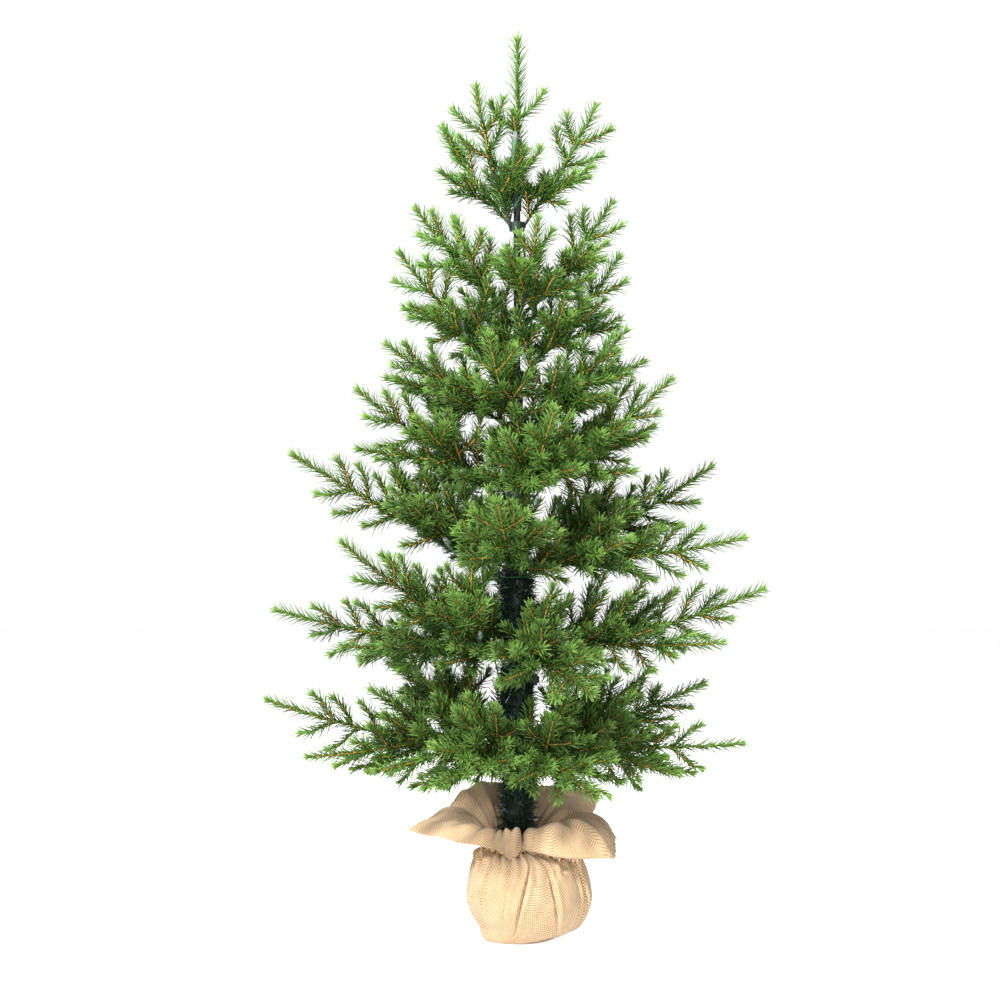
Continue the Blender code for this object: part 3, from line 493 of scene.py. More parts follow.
def clothe(green, points, rng, fresh, dark, length=NEEDLE_LENGTH, start=0.0, tuft=True):
    """Needles all round a shoot, closing in over its tip. fresh is for its start and its tip; dark is
    painted shade, taken off the needles' tone.
    """
    line, headings, _ = resample(points, NEEDLE_STEP)
    first = int(start / NEEDLE_STEP)
    line = line[first:]
    headings = headings[first:]
    n = len(line)
    share = np.linspace(0, 1, n)
    to_tip = (n - 1 - np.arange(n)) * NEEDLE_STEP
    closing = np.clip(1 - to_tip / TIP_CLOSES, 0, 1) if tuft else np.zeros(n)
    opening = np.clip(np.arange(n) * NEEDLE_STEP / ROOT_OPENS, 0, 1)
    turn = np.arange(n) * GOLDEN_ANGLE + rng.uniform(0, TAU) + rng.normal(0, 0.16, n)
    side = unit(np.cross(UP, headings) + 1e-9)
    up = np.cross(headings, side)
    # Moulded needles stand out more to the sides and above than below.
    radial = unit(side * np.cos(turn)[:, None] * 1.2 + up * (np.sin(turn) * 0.85 + 0.18)[:, None])
    lean = np.radians(rng.normal(NEEDLE_LEAN, 4, n) - 20 * closing)
    heading = headings * np.cos(lean)[:, None] + radial * np.sin(lean)[:, None]
    size = length * rng.uniform(0.90, 1.08, n) * (1 - 0.22 * closing) * (0.75 + 0.25 * opening)
    # Needles that point up are painted lighter: painted light from above.
    tone = np.clip(rng.normal(0.5, 0.26, n) + 0.16 * radial[:, 2] - dark, 0, 1)
    tip = (fresh[0] + (fresh[1] - fresh[0]) * share**2.4) * rng.uniform(0.5, 1.0, n)
    width = NEEDLE_WIDTH * rng.uniform(0.85, 1.15, n)
    base = line + radial * SHOOT_CORE * 0.5
    green.needles(base, heading, headings, size, width, tone, tip)
    if not tuft:
        return
    count = TUFT_NEEDLES
    side, up = side_and_up(headings[-1])
    angle = np.arange(count) * GOLDEN_ANGLE
    lean = np.radians(6 + 30 * np.sqrt((np.arange(count) + 0.5) / count))
    ring = np.outer(np.cos(angle), side) + np.outer(np.sin(angle), up)
    heading = headings[-1] * np.cos(lean)[:, None] + ring * np.sin(lean)[:, None]
    green.needles(
        np.tile(line[-1], (count, 1)) - headings[-1] * MM,
        heading,
        np.tile(headings[-1], (count, 1)),
        (TIP_LENGTH + MM) * rng.uniform(0.75, 1.0, count),
        np.full(count, NEEDLE_WIDTH),
        np.clip(rng.normal(0.55, 0.15, count) - dark, 0, 1),
        np.full(count, fresh[1]) * rng.uniform(0.6, 1.0, count),
    )


def shortened(points, by):
    """The same line, ending earlier by this much."""
    line, _, total = resample(points, 2 * MM)
    keep = max(3, int(len(line) * (total - by) / total))
    return line[:keep]


def shoot(green, points, rng, fresh=(0.1, 1.0), dark=0.0, length=NEEDLE_LENGTH):
    """One shoot: a golden core that thins to its tip, with its needles."""
    line = shortened(points, TIP_LENGTH)
    green.tube(line, np.linspace(SHOOT_CORE, SHOOT_CORE * 0.6, len(line)), 5, STEM_KIND)
    clothe(green, line, rng, fresh, dark, length)


def spray_points(start, heading, yaw, pitch, length, steps=8):
    """A spray's middle line, which curves up a little."""
    side, up = side_and_up(heading)
    turn = math.radians(yaw)
    flat = heading * math.cos(turn) + side * math.sin(turn)
    points = [start]
    for index in range(steps):
        rise = math.radians(pitch + SPRAY_LIFT * (index + 0.5) / steps)
        points.append(points[-1] + (flat * math.cos(rise) + up * math.sin(rise)) * (length / steps))
    return np.array(points)


def bowed(start, tip, heading):
    """A side shoot that leaves at an angle and turns to run with its spray."""
    span = tip - start
    away = span - heading * np.dot(span, heading)
    middle = start + span * 0.5 + away * 0.16
    return smooth_line((start, middle, tip), 6)


def side_shoot(points, place, reach, roll, hand, spread=PRONG_ANGLE):
    """The line of a shoot that leaves a spray's own line to one side."""
    start, heading = along(points, place)
    side, up = side_and_up(heading)
    turn = math.radians(roll)
    across = (side * math.cos(turn) + up * math.sin(turn)) * hand
    angle = math.radians(spread)
    tip = start + (heading * math.cos(angle) + across * math.sin(angle)) * reach
    return bowed(start, tip, heading)


def spray(green, root, yaw, pitch, length, roll, rng, dark, fresh=1.0, apart=SHOOTS_APART):
    """A moulded spray: its main shoot, its fork, and side shoots behind the fork."""
    points = spray_points(*root, yaw, pitch, length)
    shoot(green, points, rng, (0.1, fresh), dark)
    place = max(length - FORK_FROM_TIP, length * FORK_SHARE)
    reach = min(PRONG_LENGTH, 0.5 * length)
    for hand in (1, -1):
        shoot(green, side_shoot(points, place, reach, roll, hand), rng, (0.1, fresh), dark)
    behind = place - FORK_TO_SHOOTS
    hand = 1 if rng.random() < 0.5 else -1
    while behind > FIRST_SHOOT:
        turn = roll + rng.uniform(25, 75)
        for side in (hand, -hand):
            size = reach * rng.uniform(0.85, 1.1)
            at = behind + side * SHOOT_STAGGER
            line = side_shoot(points, at, size, turn, side, rng.uniform(36, 48))
            # The shoots behind the fork are painted darker, as painted shade under the outer shoots.
            shoot(green, line, rng, (0.05, fresh * 0.8), dark + 0.08)
        behind -= apart


def stem_of(name, steps=10):
    """A branch's wire, as the CAD model bends it, with its hinge, azimuth and length."""
    hinge, azimuth = hinge_of(name)
    rise, length, bend, _ = BRANCHES[name]
    length = length * MM
    points = [hinge]
    for index in range(steps):
        angle = rise + bend * (index + 0.5) / steps
        points.append(points[-1] + direction(azimuth, angle) * (length / steps))
    return np.array(points), hinge, azimuth, length


def hinge_of(name):
    """A branch's hinge and azimuth, from its joint."""
    joint = next(j for j in frame["joints"] if j["child"] == name)
    axis = joint["axis"]
    return np.array(joint["pos_m"]), math.degrees(math.atan2(axis[0], -axis[1]))


def inner_sprays(green, stem, length, tier, rng):
    """Shorter sprays wound on the wire near the trunk, which fill the tree's inside."""
    count = INNER_SPRAYS[tier]
    # Painted light by tier: the upper tiers are painted lighter, the lower ones darker.
    painted_light = TIER_PAINTED_LIGHT[tier]
    for index in range(count):
        place = (10 * MM + (length - 14 * MM) * index / count) * rng.uniform(0.92, 1.08)
        hand = 1 if index % 2 else -1
        start, heading = along(stem, place)
        steep = index % 3 == 0
        yaw = hand * rng.uniform(10, 36) if steep else hand * rng.uniform(30, 62)
        pitch = rng.uniform(28, 58) if steep else rng.uniform(-22, 22)
        reach = rng.uniform(58, 82) * MM
        line = spray_points(start, heading, yaw, pitch, reach)
        # The inner sprays are painted darker, as painted shade inside the tree.
        shoot(green, line, rng, (0.0, 0.5), 0.24 - painted_light)
        roll = rng.uniform(-30, 30)
        for side in (1, -1):
            at = reach * rng.uniform(0.22, 0.36)
            prong = side_shoot(line, at, reach * 0.55, roll, side, 42)
            shoot(green, prong, rng, (0.0, 0.45), 0.26 - painted_light)


def make_branch(name, surface, seed):
    """One branch: its wire, its sprays and all their needles."""
    rng = np.random.default_rng(seed)
    stem, hinge, azimuth, length = stem_of(name)
    green = Greenery()
    green.tube(stem, WIRE_RADIUS, 7, WIRE_KIND)
    side = np.cross(UP, direction(azimuth, 0))
    eye = np.array([hinge - side * EYE_WIDTH / 2, hinge, hinge + side * EYE_WIDTH / 2])
    green.tube(eye, EYE_RADIUS, 12, WIRE_KIND)
    # The needles on the wire near the trunk are painted darker, as painted shade.
    clothe(green, stem, rng, (0.0, 0.15), 0.2, start=BARE_WIRE, tuft=False)
    # The upper tiers are painted lighter, as painted light from above, and they are more open.
    tier = name[0]
    painted_light = TIER_PAINTED_LIGHT[tier]
    apart = OPEN_SHOOTS_APART if tier in "ab" else SHOOTS_APART
    for at, yaw, pitch, reach, roll in BRANCHES[name][3]:
        root = along(stem, length - 2 * MM if at == END else at * MM)
        spray(green, root, yaw, pitch, reach * MM, roll, rng, -painted_light, apart=apart)
    # The filling sprays are painted a little darker, as painted shade.
    for at, yaw, pitch, reach, roll in FILLING.get(name, ()):
        root = along(stem, at * MM)
        spray(green, root, yaw, pitch, reach * MM, roll, rng, 0.06 - painted_light, fresh=0.8)
    inner_sprays(green, stem, length, tier, rng)
    piece = green.build("spruce_" + name, surface)
    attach(piece, name)
    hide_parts("branch_" + name)


def make_leader(surface):
    """The top shoot, with a sleeve over the rod's end and six side shoots."""
    rng = np.random.default_rng(101)
    green = Greenery()
    low, high = (np.array(corner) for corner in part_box("leader"))
    foot = np.array((0.0, 0.0, low[2]))
    rod_end = np.array((0.0, 0.0, ROD_TOP))
    tip = np.array((0.0, 0.0, high[2]))
    sleeve = (foot, rod_end + UP * 2 * MM, rod_end + UP * 10 * MM)
    green.tube(sleeve, (4.4 * MM, 4.4 * MM, 1.6 * MM), 12, WIRE_KIND)
    middle = (rod_end + tip) / 2 + np.array((0.6 * MM, 0, 0))
    # The leader's needles are painted lighter, as painted light at the top of the tree.
    shoot(green, smooth_line((rod_end, middle, tip), 10), rng, (0.25, 1.0), -0.2, LEADER_NEEDLE)
    for shoots, rise, fresh, dark in (
        (LEADER_PRONGS, LEADER_PRONG_RISE, (0.25, 1.0), -0.2),
        (LEADER_SHOOTS, LEADER_SHOOT_RISE, (0.2, 0.9), -0.15),
    ):
        for height, length, azimuth in shoots:
            start = rod_end + UP * (height * MM)
            end = start + direction(azimuth, rise) * (length * MM)
            shoot(green, bowed(start, end, UP), rng, fresh, dark)
    piece = green.build("spruce_leader", surface)
    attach(piece, "trunk")
    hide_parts("leader")


# --- Trunk garland ---

STRIPS_PER_MM = 20
STRIP_ROOT = 7.5 * MM  # from the pole's middle
STRIP_WIDTH = 1.4 * MM


def make_garland(surface):
    """Cut strips of dark film standing out all round the pole, over the CAD model's cores."""
    rng = np.random.default_rng(202)
    for tier in "hgfed":
        low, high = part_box("garland_below_" + tier)
        bottom, top = low[2] - 4 * MM, high[2] + 4 * MM
        height = top - bottom
        n = int(height / MM * STRIPS_PER_MM)
        z = bottom + rng.random(n) * height
        turn = rng.uniform(0, TAU, n)
        outward = np.column_stack((np.cos(turn), np.sin(turn), np.zeros(n)))
        tangent = np.cross(UP, outward)
        base = outward * STRIP_ROOT + UP * z[:, None]
        fat = 1.0 if tier in "hgf" else 0.62
        swirl = tangent * rng.normal(0, 0.8, n)[:, None]
        heading = unit(outward * 0.8 + swirl + UP * rng.normal(0.1, 0.75, n)[:, None])
        length = rng.uniform(10, 18, n) * MM * fat
        green = Greenery()
        forward = unit(UP * rng.normal(0, 1, n)[:, None] + tangent * rng.normal(0, 1, n)[:, None])
        # A high tone gives a strip the painted highlight's pale grey-green.
        tone = rng.beta(1.0, 2.0, n)
        width = np.full(n, STRIP_WIDTH)
        green.needles(base, heading, forward, length, width, tone, np.zeros(n), 0.45, 0.12)
        piece = green.build("tinsel_below_" + tier, surface)
        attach(piece, "trunk")


# --- Burlap wrap ---

# The collar of cloth above the tie, by azimuth: the radius and height in mm where it folds over,
# then those of its free edge. The widest places are corners of the square sheet.
COLLAR = (
    (14, 44, 124, 72, 118), (34, 54, 130, 102, 138), (46, 52, 132, 88, 142), (66, 40, 128, 60, 146),
    (92, 38, 126, 56, 146), (118, 38, 128, 58, 150), (136, 38, 131, 52, 152), (152, 42, 129, 60, 144),
    (166, 48, 122, 72, 128), (178, 55, 117, 92, 117), (185, 60, 116, 109.5, 110),
    (198, 52, 115, 86, 105), (214, 44, 114, 62, 99), (236, 36, 111, 47, 96), (252, 32, 109, 42, 93),
    (266, 33, 109, 44, 92), (277, 29, 108, 37, 95), (288, 40, 115, 50, 93), (304, 54, 119, 72, 90),
    (320, 64, 121, 96, 88), (326, 70, 122, 112, 88), (336, 70, 122, 104, 96), (347, 68, 122, 97, 107),
    (357, 58, 123, 88, 117),
)
# The sack's profile from the middle of its underside up to the neck: radius and height in mm.
SACK = (
    (0, 0), (20, 0), (32, 0.2), (40, 5), (46, 10), (52.5, 18), (58, 29), (61.3, 45), (58.6, 64),
    (53.5, 76), (48, 84), (36, 89), (24, 91),
)
NECK = (22.5 * MM, 93.5 * MM)
SACK_LEAN = 13 * MM  # how far the sack's belly sits to the right of the pole
# Creases in the sack's side: azimuth at the neck, azimuth at the foot, and depth in mm.
CREASES = (
    (272, 250, 5.2), (287, 304, 4.4), (322, 344, 5.0), (352, 4, 2.6), (20, 32, 3.0), (58, 50, 3.4),
    (92, 100, 3.0), (128, 120, 3.4), (160, 168, 3.0), (196, 190, 3.0), (224, 212, 2.2),
    (256, 236, 1.6), (318, 330, 1.6),
)
CLOTH = 0.9 * MM
WEAVE_PITCH = 2.5 * MM
ROUND_STEPS = 480
COLLAR_ROWS = 44
SACK_ROW = 2.9 * MM
FRAY_AZIMUTH = 338  # the corner to the right of the front is the most frayed
THREAD = 0.30 * MM
STRAND = 0.28 * MM
# Long loose strands at the sheet's edge: azimuth, and length in mm.
STRANDS = ((210, 13), (327, 12), (334, 16), (320, 10), (190, 12), (345, 13), (305, 10), (228, 11))


def eased(value):
    value = np.clip(value, 0, 1)
    return value * value * (3 - 2 * value)


def collar_at(azimuth):
    """The fold's and the free edge's radius and height at each azimuth, in metres."""
    stations = np.array(COLLAR, float)
    round_once = np.array((360, 0, 0, 0, 0))
    stations = np.vstack((stations[-1] - round_once, stations, stations[0] + round_once))
    place = np.searchsorted(stations[:, 0], azimuth, side="right") - 1
    share = (azimuth - stations[place, 0]) / (stations[place + 1, 0] - stations[place, 0])
    values = []
    for column in (1, 2, 3, 4):
        # The free edge's radius runs straight between stations, which keeps the corners pointed.
        amount = share if column == 3 else eased(share)
        here, after = stations[place, column], stations[place + 1, column]
        values.append((here * (1 - amount) + after * amount) * MM)
    return values


def crease_field(azimuth, height):
    """How far the sack's side moves in or out: soft bulges between overlapping pleats."""
    top, bottom = 88 * MM, 4 * MM
    share = np.clip((height - bottom) / (top - bottom), 0, 1)
    out = np.zeros_like(azimuth)
    strength = 0.25 + 0.75 * eased(share / 0.55)
    for at_neck, at_foot, depth in CREASES:
        centre = at_foot + (at_neck - at_foot) * share**0.8
        away = (azimuth - centre + 180) % 360 - 180
        # The lip on one side stands over the valley on the other.
        valley = -1.25 * depth * np.exp(-((away + 0.8) / 1.5) ** 2)
        lip = 0.6 * depth * np.exp(-((away - 2.8) / 3.4) ** 2)
        swell = 0.4 * depth * np.exp(-((away - 12) / 9.0) ** 2)
        out += (valley + lip + swell) * strength
    return out * MM


def ripple(azimuth, waves, seed):
    """A sum of sines with these numbers of waves round the sheet."""
    rng = np.random.default_rng(seed)
    total = np.zeros_like(azimuth)
    for wave in waves:
        total += rng.uniform(0.6, 1.0) * np.sin(np.radians(azimuth) * wave + rng.uniform(0, TAU))
    return total / len(waves)


def burlap_rows():
    """The sheet's rows from its middle out to its free edge."""
    azimuth = np.arange(ROUND_STEPS) * 360.0 / ROUND_STEPS
    turn = np.radians(azimuth)
    around = np.column_stack((np.cos(turn), np.sin(turn), np.zeros(ROUND_STEPS)))
    profile, _, _ = resample(smooth_line([(r * MM, 0, z * MM) for r, z in SACK], 6), SACK_ROW)
    gathers = ripple(azimuth, (26, 31), 5)
    rows = []
    for radius, _, height in profile:
        side = eased((height - 3 * MM) / (10 * MM)) * eased((NECK[1] - height) / (5 * MM))
        move = crease_field(azimuth, np.full(ROUND_STEPS, height)) * side
        sag = ripple(azimuth, (2, 3, 5), 9) * 1.6 * MM * side
        inward = eased((radius - 20 * MM) / (18 * MM))
        neckward = eased((height - 58 * MM) / (30 * MM))
        gather = gathers * 4.2 * MM * neckward
        r = np.maximum(radius + (move + sag) * inward + gather * eased(radius / (20 * MM)), 1e-5)
        lean = SACK_LEAN * eased((height + MM) / (16 * MM)) * eased((97 * MM - height) / (20 * MM))
        drop = gathers * 2.4 * MM * neckward
        row = around * r[:, None] + UP * (height + drop)[:, None]
        row[:, 0] += lean
        rows.append(row)
    fold_radius, fold_height, edge_radius, edge_height = collar_at(azimuth)
    broad = ripple(azimuth, (5, 8, 11), 21)
    pleats = ripple(azimuth, (14, 17, 22), 24)
    edge_wave = ripple(azimuth, (6, 9, 15), 23)
    # In front, a tongue of cloth hangs over the tie, with a deep crease to its right.
    tongue = np.exp(-(((azimuth - 262) / 13) ** 2))
    crease = np.exp(-(((azimuth - 279) / 3.6) ** 2))
    # A quadratic curve from the neck over the fold to the free edge.
    over_radius = 2 * fold_radius - (NECK[0] + edge_radius) / 2
    over_height = 2 * fold_height - (NECK[1] + edge_height) / 2
    for index in range(1, COLLAR_ROWS + 1):
        w = index / COLLAR_ROWS
        a, b, c = (1 - w) ** 2, 2 * w * (1 - w), w * w
        r = a * NECK[0] + b * over_radius + c * edge_radius
        z = a * NECK[1] + b * over_height + c * edge_height
        throat = (1 - w) ** 1.6
        r = r + gathers * 6.4 * MM * throat + pleats * 3.4 * MM * (1 - w) * w * 3
        z = z + gathers * 4.2 * MM * throat + pleats * 5.2 * MM * (1 - w) ** 0.7 * min(1.0, w * 5)
        z = z + broad * 2.4 * MM * math.sin(math.pi * w**0.8) + edge_wave * 1.4 * MM * w
        r = r + (tongue * 12 - crease * 11) * MM * math.sin(math.pi * min(1.0, w * 1.05) ** 0.8)
        hump = math.sin(math.pi * w)
        z = z + (tongue * (9 * hump - 7 * w) - crease * 8 * hump) * MM
        rows.append(around * r[:, None] + UP * z[:, None])
    return azimuth, np.array(rows)


def make_burlap(surface):
    """The cloth, with the flat sheet's coordinates for its weave, and its rows of points."""
    azimuth, rows = burlap_rows()
    steps = np.linalg.norm(np.diff(rows, axis=0), axis=2)
    reach = np.vstack((np.zeros(ROUND_STEPS), np.cumsum(steps, axis=0)))
    turn = np.radians(azimuth)
    flat = np.stack((reach * np.cos(turn), reach * np.sin(turn)), axis=2)
    count = len(rows)
    verts = np.vstack((np.array(((0, 0, 0),)), rows[1:].reshape(-1, 3)))
    uvs = np.vstack((np.array(((0, 0),)), flat[1:].reshape(-1, 2)))
    faces = []
    ring = np.arange(ROUND_STEPS)
    after = np.roll(ring, -1)
    for index in ring:
        faces.append((0, 1 + (index + 1) % ROUND_STEPS, 1 + index))
    for row in range(count - 2):
        low = 1 + row * ROUND_STEPS
        high = low + ROUND_STEPS
        faces.extend(zip(low + ring, low + after, high + after, high + ring))
    mesh = bpy.data.meshes.new("burlap_wrap_cloth")
    mesh.from_pydata(verts.tolist(), [], [tuple(int(v) for v in f) for f in faces])
    layer = mesh.uv_layers.new(name="sheet")
    loop_verts = np.empty(len(mesh.loops), np.int32)
    mesh.loops.foreach_get("vertex_index", loop_verts)
    layer.data.foreach_set("uv", uvs[loop_verts].astype(np.float32).ravel())
    mesh.shade_smooth()
    mesh.materials.append(surface)
    piece = placed("burlap_wrap_cloth", mesh)
    shell = piece.modifiers.new("thickness", "SOLIDIFY")
    shell.thickness = CLOTH
    shell.offset = -1
    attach(piece, "trunk")
    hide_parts("burlap_wrap")
    return piece, rows


def make_fray(rows, surface):
    """Loose threads standing out of the sheet's cut edge."""
    rng = np.random.default_rng(303)
    green = Greenery()
    edge = rows[-1]
    inner = rows[-4]
    n = len(edge)
    azimuth = np.arange(n) * 360.0 / n
    for index in range(n):
        outward = unit(edge[index] - inner[index])
        tangent = unit(edge[(index + 1) % n] - edge[index])
        near_corner = math.exp(-(((azimuth[index] - FRAY_AZIMUTH + 180) % 360 - 180) / 26) ** 2)
        if rng.random() > 0.55 + 0.45 * near_corner:
            continue
        length = (2.2 + 2.5 * rng.random() + 4.5 * near_corner * rng.random()) * MM
        sway = tangent * rng.normal(0, 0.30) + UP * rng.normal(-0.05, 0.25)
        start = edge[index] - outward * 1.5 * MM
        end = start + unit(outward + sway) * length
        middle = (start + end) / 2 + tangent * rng.normal(0, 0.10) * length
        green.tube(smooth_line((start, middle, end), 2), THREAD, 4, STEM_KIND, rng.random())
    for toward, length in STRANDS:
        place = int(toward / 360 * n)
        start = edge[place]
        outward = unit(start - inner[place])
        tangent = unit(edge[(place + 1) % n] - start)
        bend = tangent * rng.normal(0, 0.5) + UP * -0.6
        middle = start + (outward + bend * 0.4) * length * 0.5 * MM
        end = start + (outward * 0.8 + bend) * length * MM * 0.9
        line = smooth_line((start - outward * MM, middle, end), 6)
        green.tube(line, STRAND, 4, STEM_KIND, rng.random())
    piece = green.build("burlap_fray", surface)
    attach(piece, "trunk")
    return piece


def burlap_material(woven=True):
    """Plain jute weave at its real pitch, on the flat sheet's coordinates, or loose thread."""
    n = Nodes("jute_weave" if woven else "jute_thread")
    if not woven:
        n.base(n.ramp(n.leaf()[0], ((0.0, (0.50, 0.32, 0.15)), (1.0, (0.78, 0.58, 0.34)))))
        n.roughness(n.noise(700.0), 0.85, 0.98)
        n.bump(n.noise(1500.0, 2.0), 0.3, 0.0002)
        return n.material
    sheet = n.add("ShaderNodeUVMap", uv_map="sheet")
    wobble = n.add("ShaderNodeTexNoise")
    put(wobble, Scale=90.0, Detail=2.0)
    n.link(sheet.outputs["UV"], wobble.inputs["Vector"])
    shift = n.add("ShaderNodeVectorMath", operation="MULTIPLY_ADD")
    shift.inputs[1].default_value = (0.0009, 0.0009, 0.0)
    n.link(wobble.outputs["Color"], shift.inputs[0])
    n.link(sheet.outputs["UV"], shift.inputs[2])
    parts = n.add("ShaderNodeSeparateXYZ")
    n.link(shift.outputs["Vector"], parts.inputs["Vector"])
    frequency = TAU / WEAVE_PITCH / 2
    waves = [n.math("SINE", n.math("MULTIPLY", parts.outputs[key], frequency), 0) for key in "XY"]
    over = n.math("GREATER_THAN", n.math("MULTIPLY", *waves), 0.0)
    warp, weft = (n.math("ABSOLUTE", wave, 0) for wave in waves)
    under = n.math("SUBTRACT", 1.0, over)
    crossing = n.math("ADD", n.math("MULTIPLY", warp, over), n.math("MULTIPLY", weft, under))
    holes = n.math("MULTIPLY", warp, weft)
    height = n.math("ADD", n.math("MULTIPLY", crossing, 0.6), n.math("MULTIPLY", holes, 0.6))
    slub = n.noise(60.0, 4.0, sheet.outputs["UV"])
    # The weave's low places between threads are painted dark brown, as painted shade in its hollows;
    # the slub's patches are the jute's own tone.
    tone = n.math("ADD", n.math("MULTIPLY", height, 0.68), n.math("MULTIPLY", slub, 0.34))
    colour = n.ramp(tone, (
        (0.22, (0.15, 0.075, 0.026)),
        (0.42, (0.50, 0.31, 0.145)),
        (0.60, (0.71, 0.50, 0.29)),
        (0.90, (0.81, 0.62, 0.40)),
    ))
    patches = n.ramp(n.noise(14.0, 3.0), ((0.3, (0.86, 0.82, 0.78)), (0.7, (1.0, 1.0, 1.0))))
    n.base(n.mix(1.0, colour, patches, "MULTIPLY"))
    n.roughness(slub, 0.86, 0.98)
    n.bump(n.math("ADD", height, n.math("MULTIPLY", slub, 0.4)), 0.75, 0.0006)
    put(n.shader, Sheen_Weight=0.25, Sheen_Roughness=0.6, Specular_IOR_Level=0.15)
    return n.material


# --- Light string ---

CORD_DROP = 8 * MM
CORD_SPREAD = 4.5 * MM
CORD_OFF_COLLAR = 5.5 * MM
COLLAR_RADII = (10.3 * MM, 7.6 * MM)  # on the pole, and on the rod above it
STRAND_RADIUS = 0.62 * MM
STRAND_PITCH = 15 * MM
TWIST_STEP = 1.6 * MM
CORD_EXIT = (-6 * MM, 6 * MM)  # x, and y behind the battery case's front
# The branches with lamps, upwards, with each loop's reach in mm and how late its run climbs.
LIT = (
    ("h_back_left", 76, 1), ("h_left", 76, 1), ("h_right", 62, 1), ("g_front_left", 66, 4),
    ("g_right", 92, 1), ("f_left", 94, 1.2), ("f_right", 74, 1.6), ("e_left", 74, 1),
    ("e_right", 68, 1), ("d_right", 52, 0.9), ("c_left", 58, 1.2), ("b_right", 54, 1),
)
# A loop out and back: the share of its reach, and of CORD_SPREAD to a side.
LOOP = (
    (0.25, -1), (0.45, -0.6), (0.62, -1), (0.8, -0.7), (0.95, -0.8), (1.0, 0.0),
    (0.95, 0.8), (0.8, 1.1), (0.62, 0.7), (0.45, 1.0), (0.25, 1),
)
# From the last loop up the rod and the leader to its lamp, in mm.
LEADER_CLIMB = (
    (6, 7, 690), (-6, 5, 706), (-5, -7, 722), (6, -6, 742), (3, -8, 762), (-2, -8, 774), (-3, -9, 778),
)
# A ribbed holder 17 mm long, and the clear 5 mm lamp in its mouth: height and radius in mm.
HOLDER = (
    (0, 1.3), (0.6, 1.8), (2, 1.9), (2.6, 2.6), (15, 2.9), (15.6, 3.3), (16.6, 3.3), (17, 2.7),
)
BULB = ((16, 2.3), (20, 2.4), (22.5, 2.3), (24, 1.9), (25, 1.2), (25.5, 0.4))


def twisted_pair(green, points):
    """Two insulated wires twisted round each other along a line."""
    line, headings, _ = resample(points, TWIST_STEP)
    for phase in (0.0, math.pi):
        strand = []
        across, _ = side_and_up(headings[0])
        for index, (point, heading) in enumerate(zip(line, headings)):
            across = unit(across - heading * np.dot(across, heading))
            other = np.cross(heading, across)
            angle = phase + TAU * index * TWIST_STEP / STRAND_PITCH
            away = across * math.cos(angle) + other * math.sin(angle)
            strand.append(point + away * STRAND_RADIUS * 0.95)
        green.tube(np.array(strand), STRAND_RADIUS, 6, WIRE_KIND)


def trunk_run(start, end, climb):
    """Points round the trunk from one loop to the next."""
    from_azimuth, from_radius, from_level = start
    to_azimuth, to_radius, to_level = end
    swing = to_azimuth - from_azimuth
    count = max(2, round(swing / 55))
    points = []
    for index in range(count + 1):
        share = (index + 0.4) / (count + 0.8)
        radius = from_radius + (to_radius - from_radius) * share
        level = from_level + (to_level - from_level) * share**climb
        points.append(direction(from_azimuth + swing * share, 0) * radius + UP * level)
    return points


def lamp(holders, glass, base, heading):
    for shape, made, kind in ((HOLDER, holders, WIRE_KIND), (BULB, glass, STEM_KIND)):
        line = np.array([base + heading * z * MM for z, _ in shape])
        made.tube(line, np.array([r for _, r in shape]) * MM, 12, kind)


def mount_lamps(greens, names, surfaces, body):
    for green, name, surface in zip(greens, names, surfaces):
        part = green.build(name, surface)
        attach(part, body)


def make_lights(cord_surface, lamp_surfaces):
    """The trunk's cord rides on the trunk; each loop is laid along its branch, and its lamps ride on
    that branch.
    """
    case_low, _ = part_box("battery_case")
    trunk = Greenery()
    start = np.array((CORD_EXIT[0], case_low[1] + CORD_EXIT[1], case_low[2]))
    before = [start, start + np.array((-2 * MM, 0, -8 * MM))]
    turn = 90.0  # the battery box is at the back
    last = None
    for name, reach, climb in LIT:
        stem, hinge, azimuth, _ = stem_of(name)
        while azimuth < turn:
            azimuth += 360
        turn = azimuth
        collar = COLLAR_RADII[0] if hinge[2] < POLE_TOP else COLLAR_RADII[1]
        radius = collar + CORD_OFF_COLLAR
        level = hinge[2] - CORD_DROP
        side = np.cross(UP, direction(azimuth, 0))
        loop = []
        for share, spread in LOOP:
            place, _ = along(stem, reach * MM * share)
            sag = UP * CORD_DROP * (0.75 + 0.25 * math.cos(share * 9))
            loop.append(place - sag + side * spread * CORD_SPREAD)
        here = (azimuth, radius, level)
        run = trunk_run(last, here, climb) if last else []
        twisted_pair(trunk, smooth_line([*before, *run, loop[0]], 8))
        before = [loop[-1]]
        last = here
        green = Greenery()
        twisted_pair(green, smooth_line(loop, 6))
        piece = green.build("light_loop_" + name, cord_surface)
        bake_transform(piece)
        holders = Greenery()
        glass = Greenery()
        rng = np.random.default_rng(len(name) + int(reach))
        for share, hand in ((1.0, 0.0), (0.62, 1.0), (0.5, -1.0)):
            place, heading = along(stem, reach * MM * share)
            out = unit(heading * 0.5 + side * hand * 0.8 + UP * rng.uniform(-0.15, 0.5))
            base = place - UP * CORD_DROP * 0.7 + side * hand * CORD_SPREAD * 0.8
            lamp(holders, glass, base, out)
        mount_lamps((holders, glass), ("lamp_holders_" + name, "lamps_" + name), lamp_surfaces, name)
    climb = np.array(LEADER_CLIMB) * MM
    twisted_pair(trunk, smooth_line([*before, *climb], 8))
    holders = Greenery()
    glass = Greenery()
    lamp(holders, glass, climb[-1] - UP * 2 * MM, unit(np.array((0.05, -0.12, 1.0))))
    mount_lamps((holders, glass), ("lamp_holder_leader", "lamp_leader"), lamp_surfaces, "trunk")
    piece = trunk.build("light_cord_trunk", cord_surface)
    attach(piece, "trunk")
    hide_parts("light_cord")


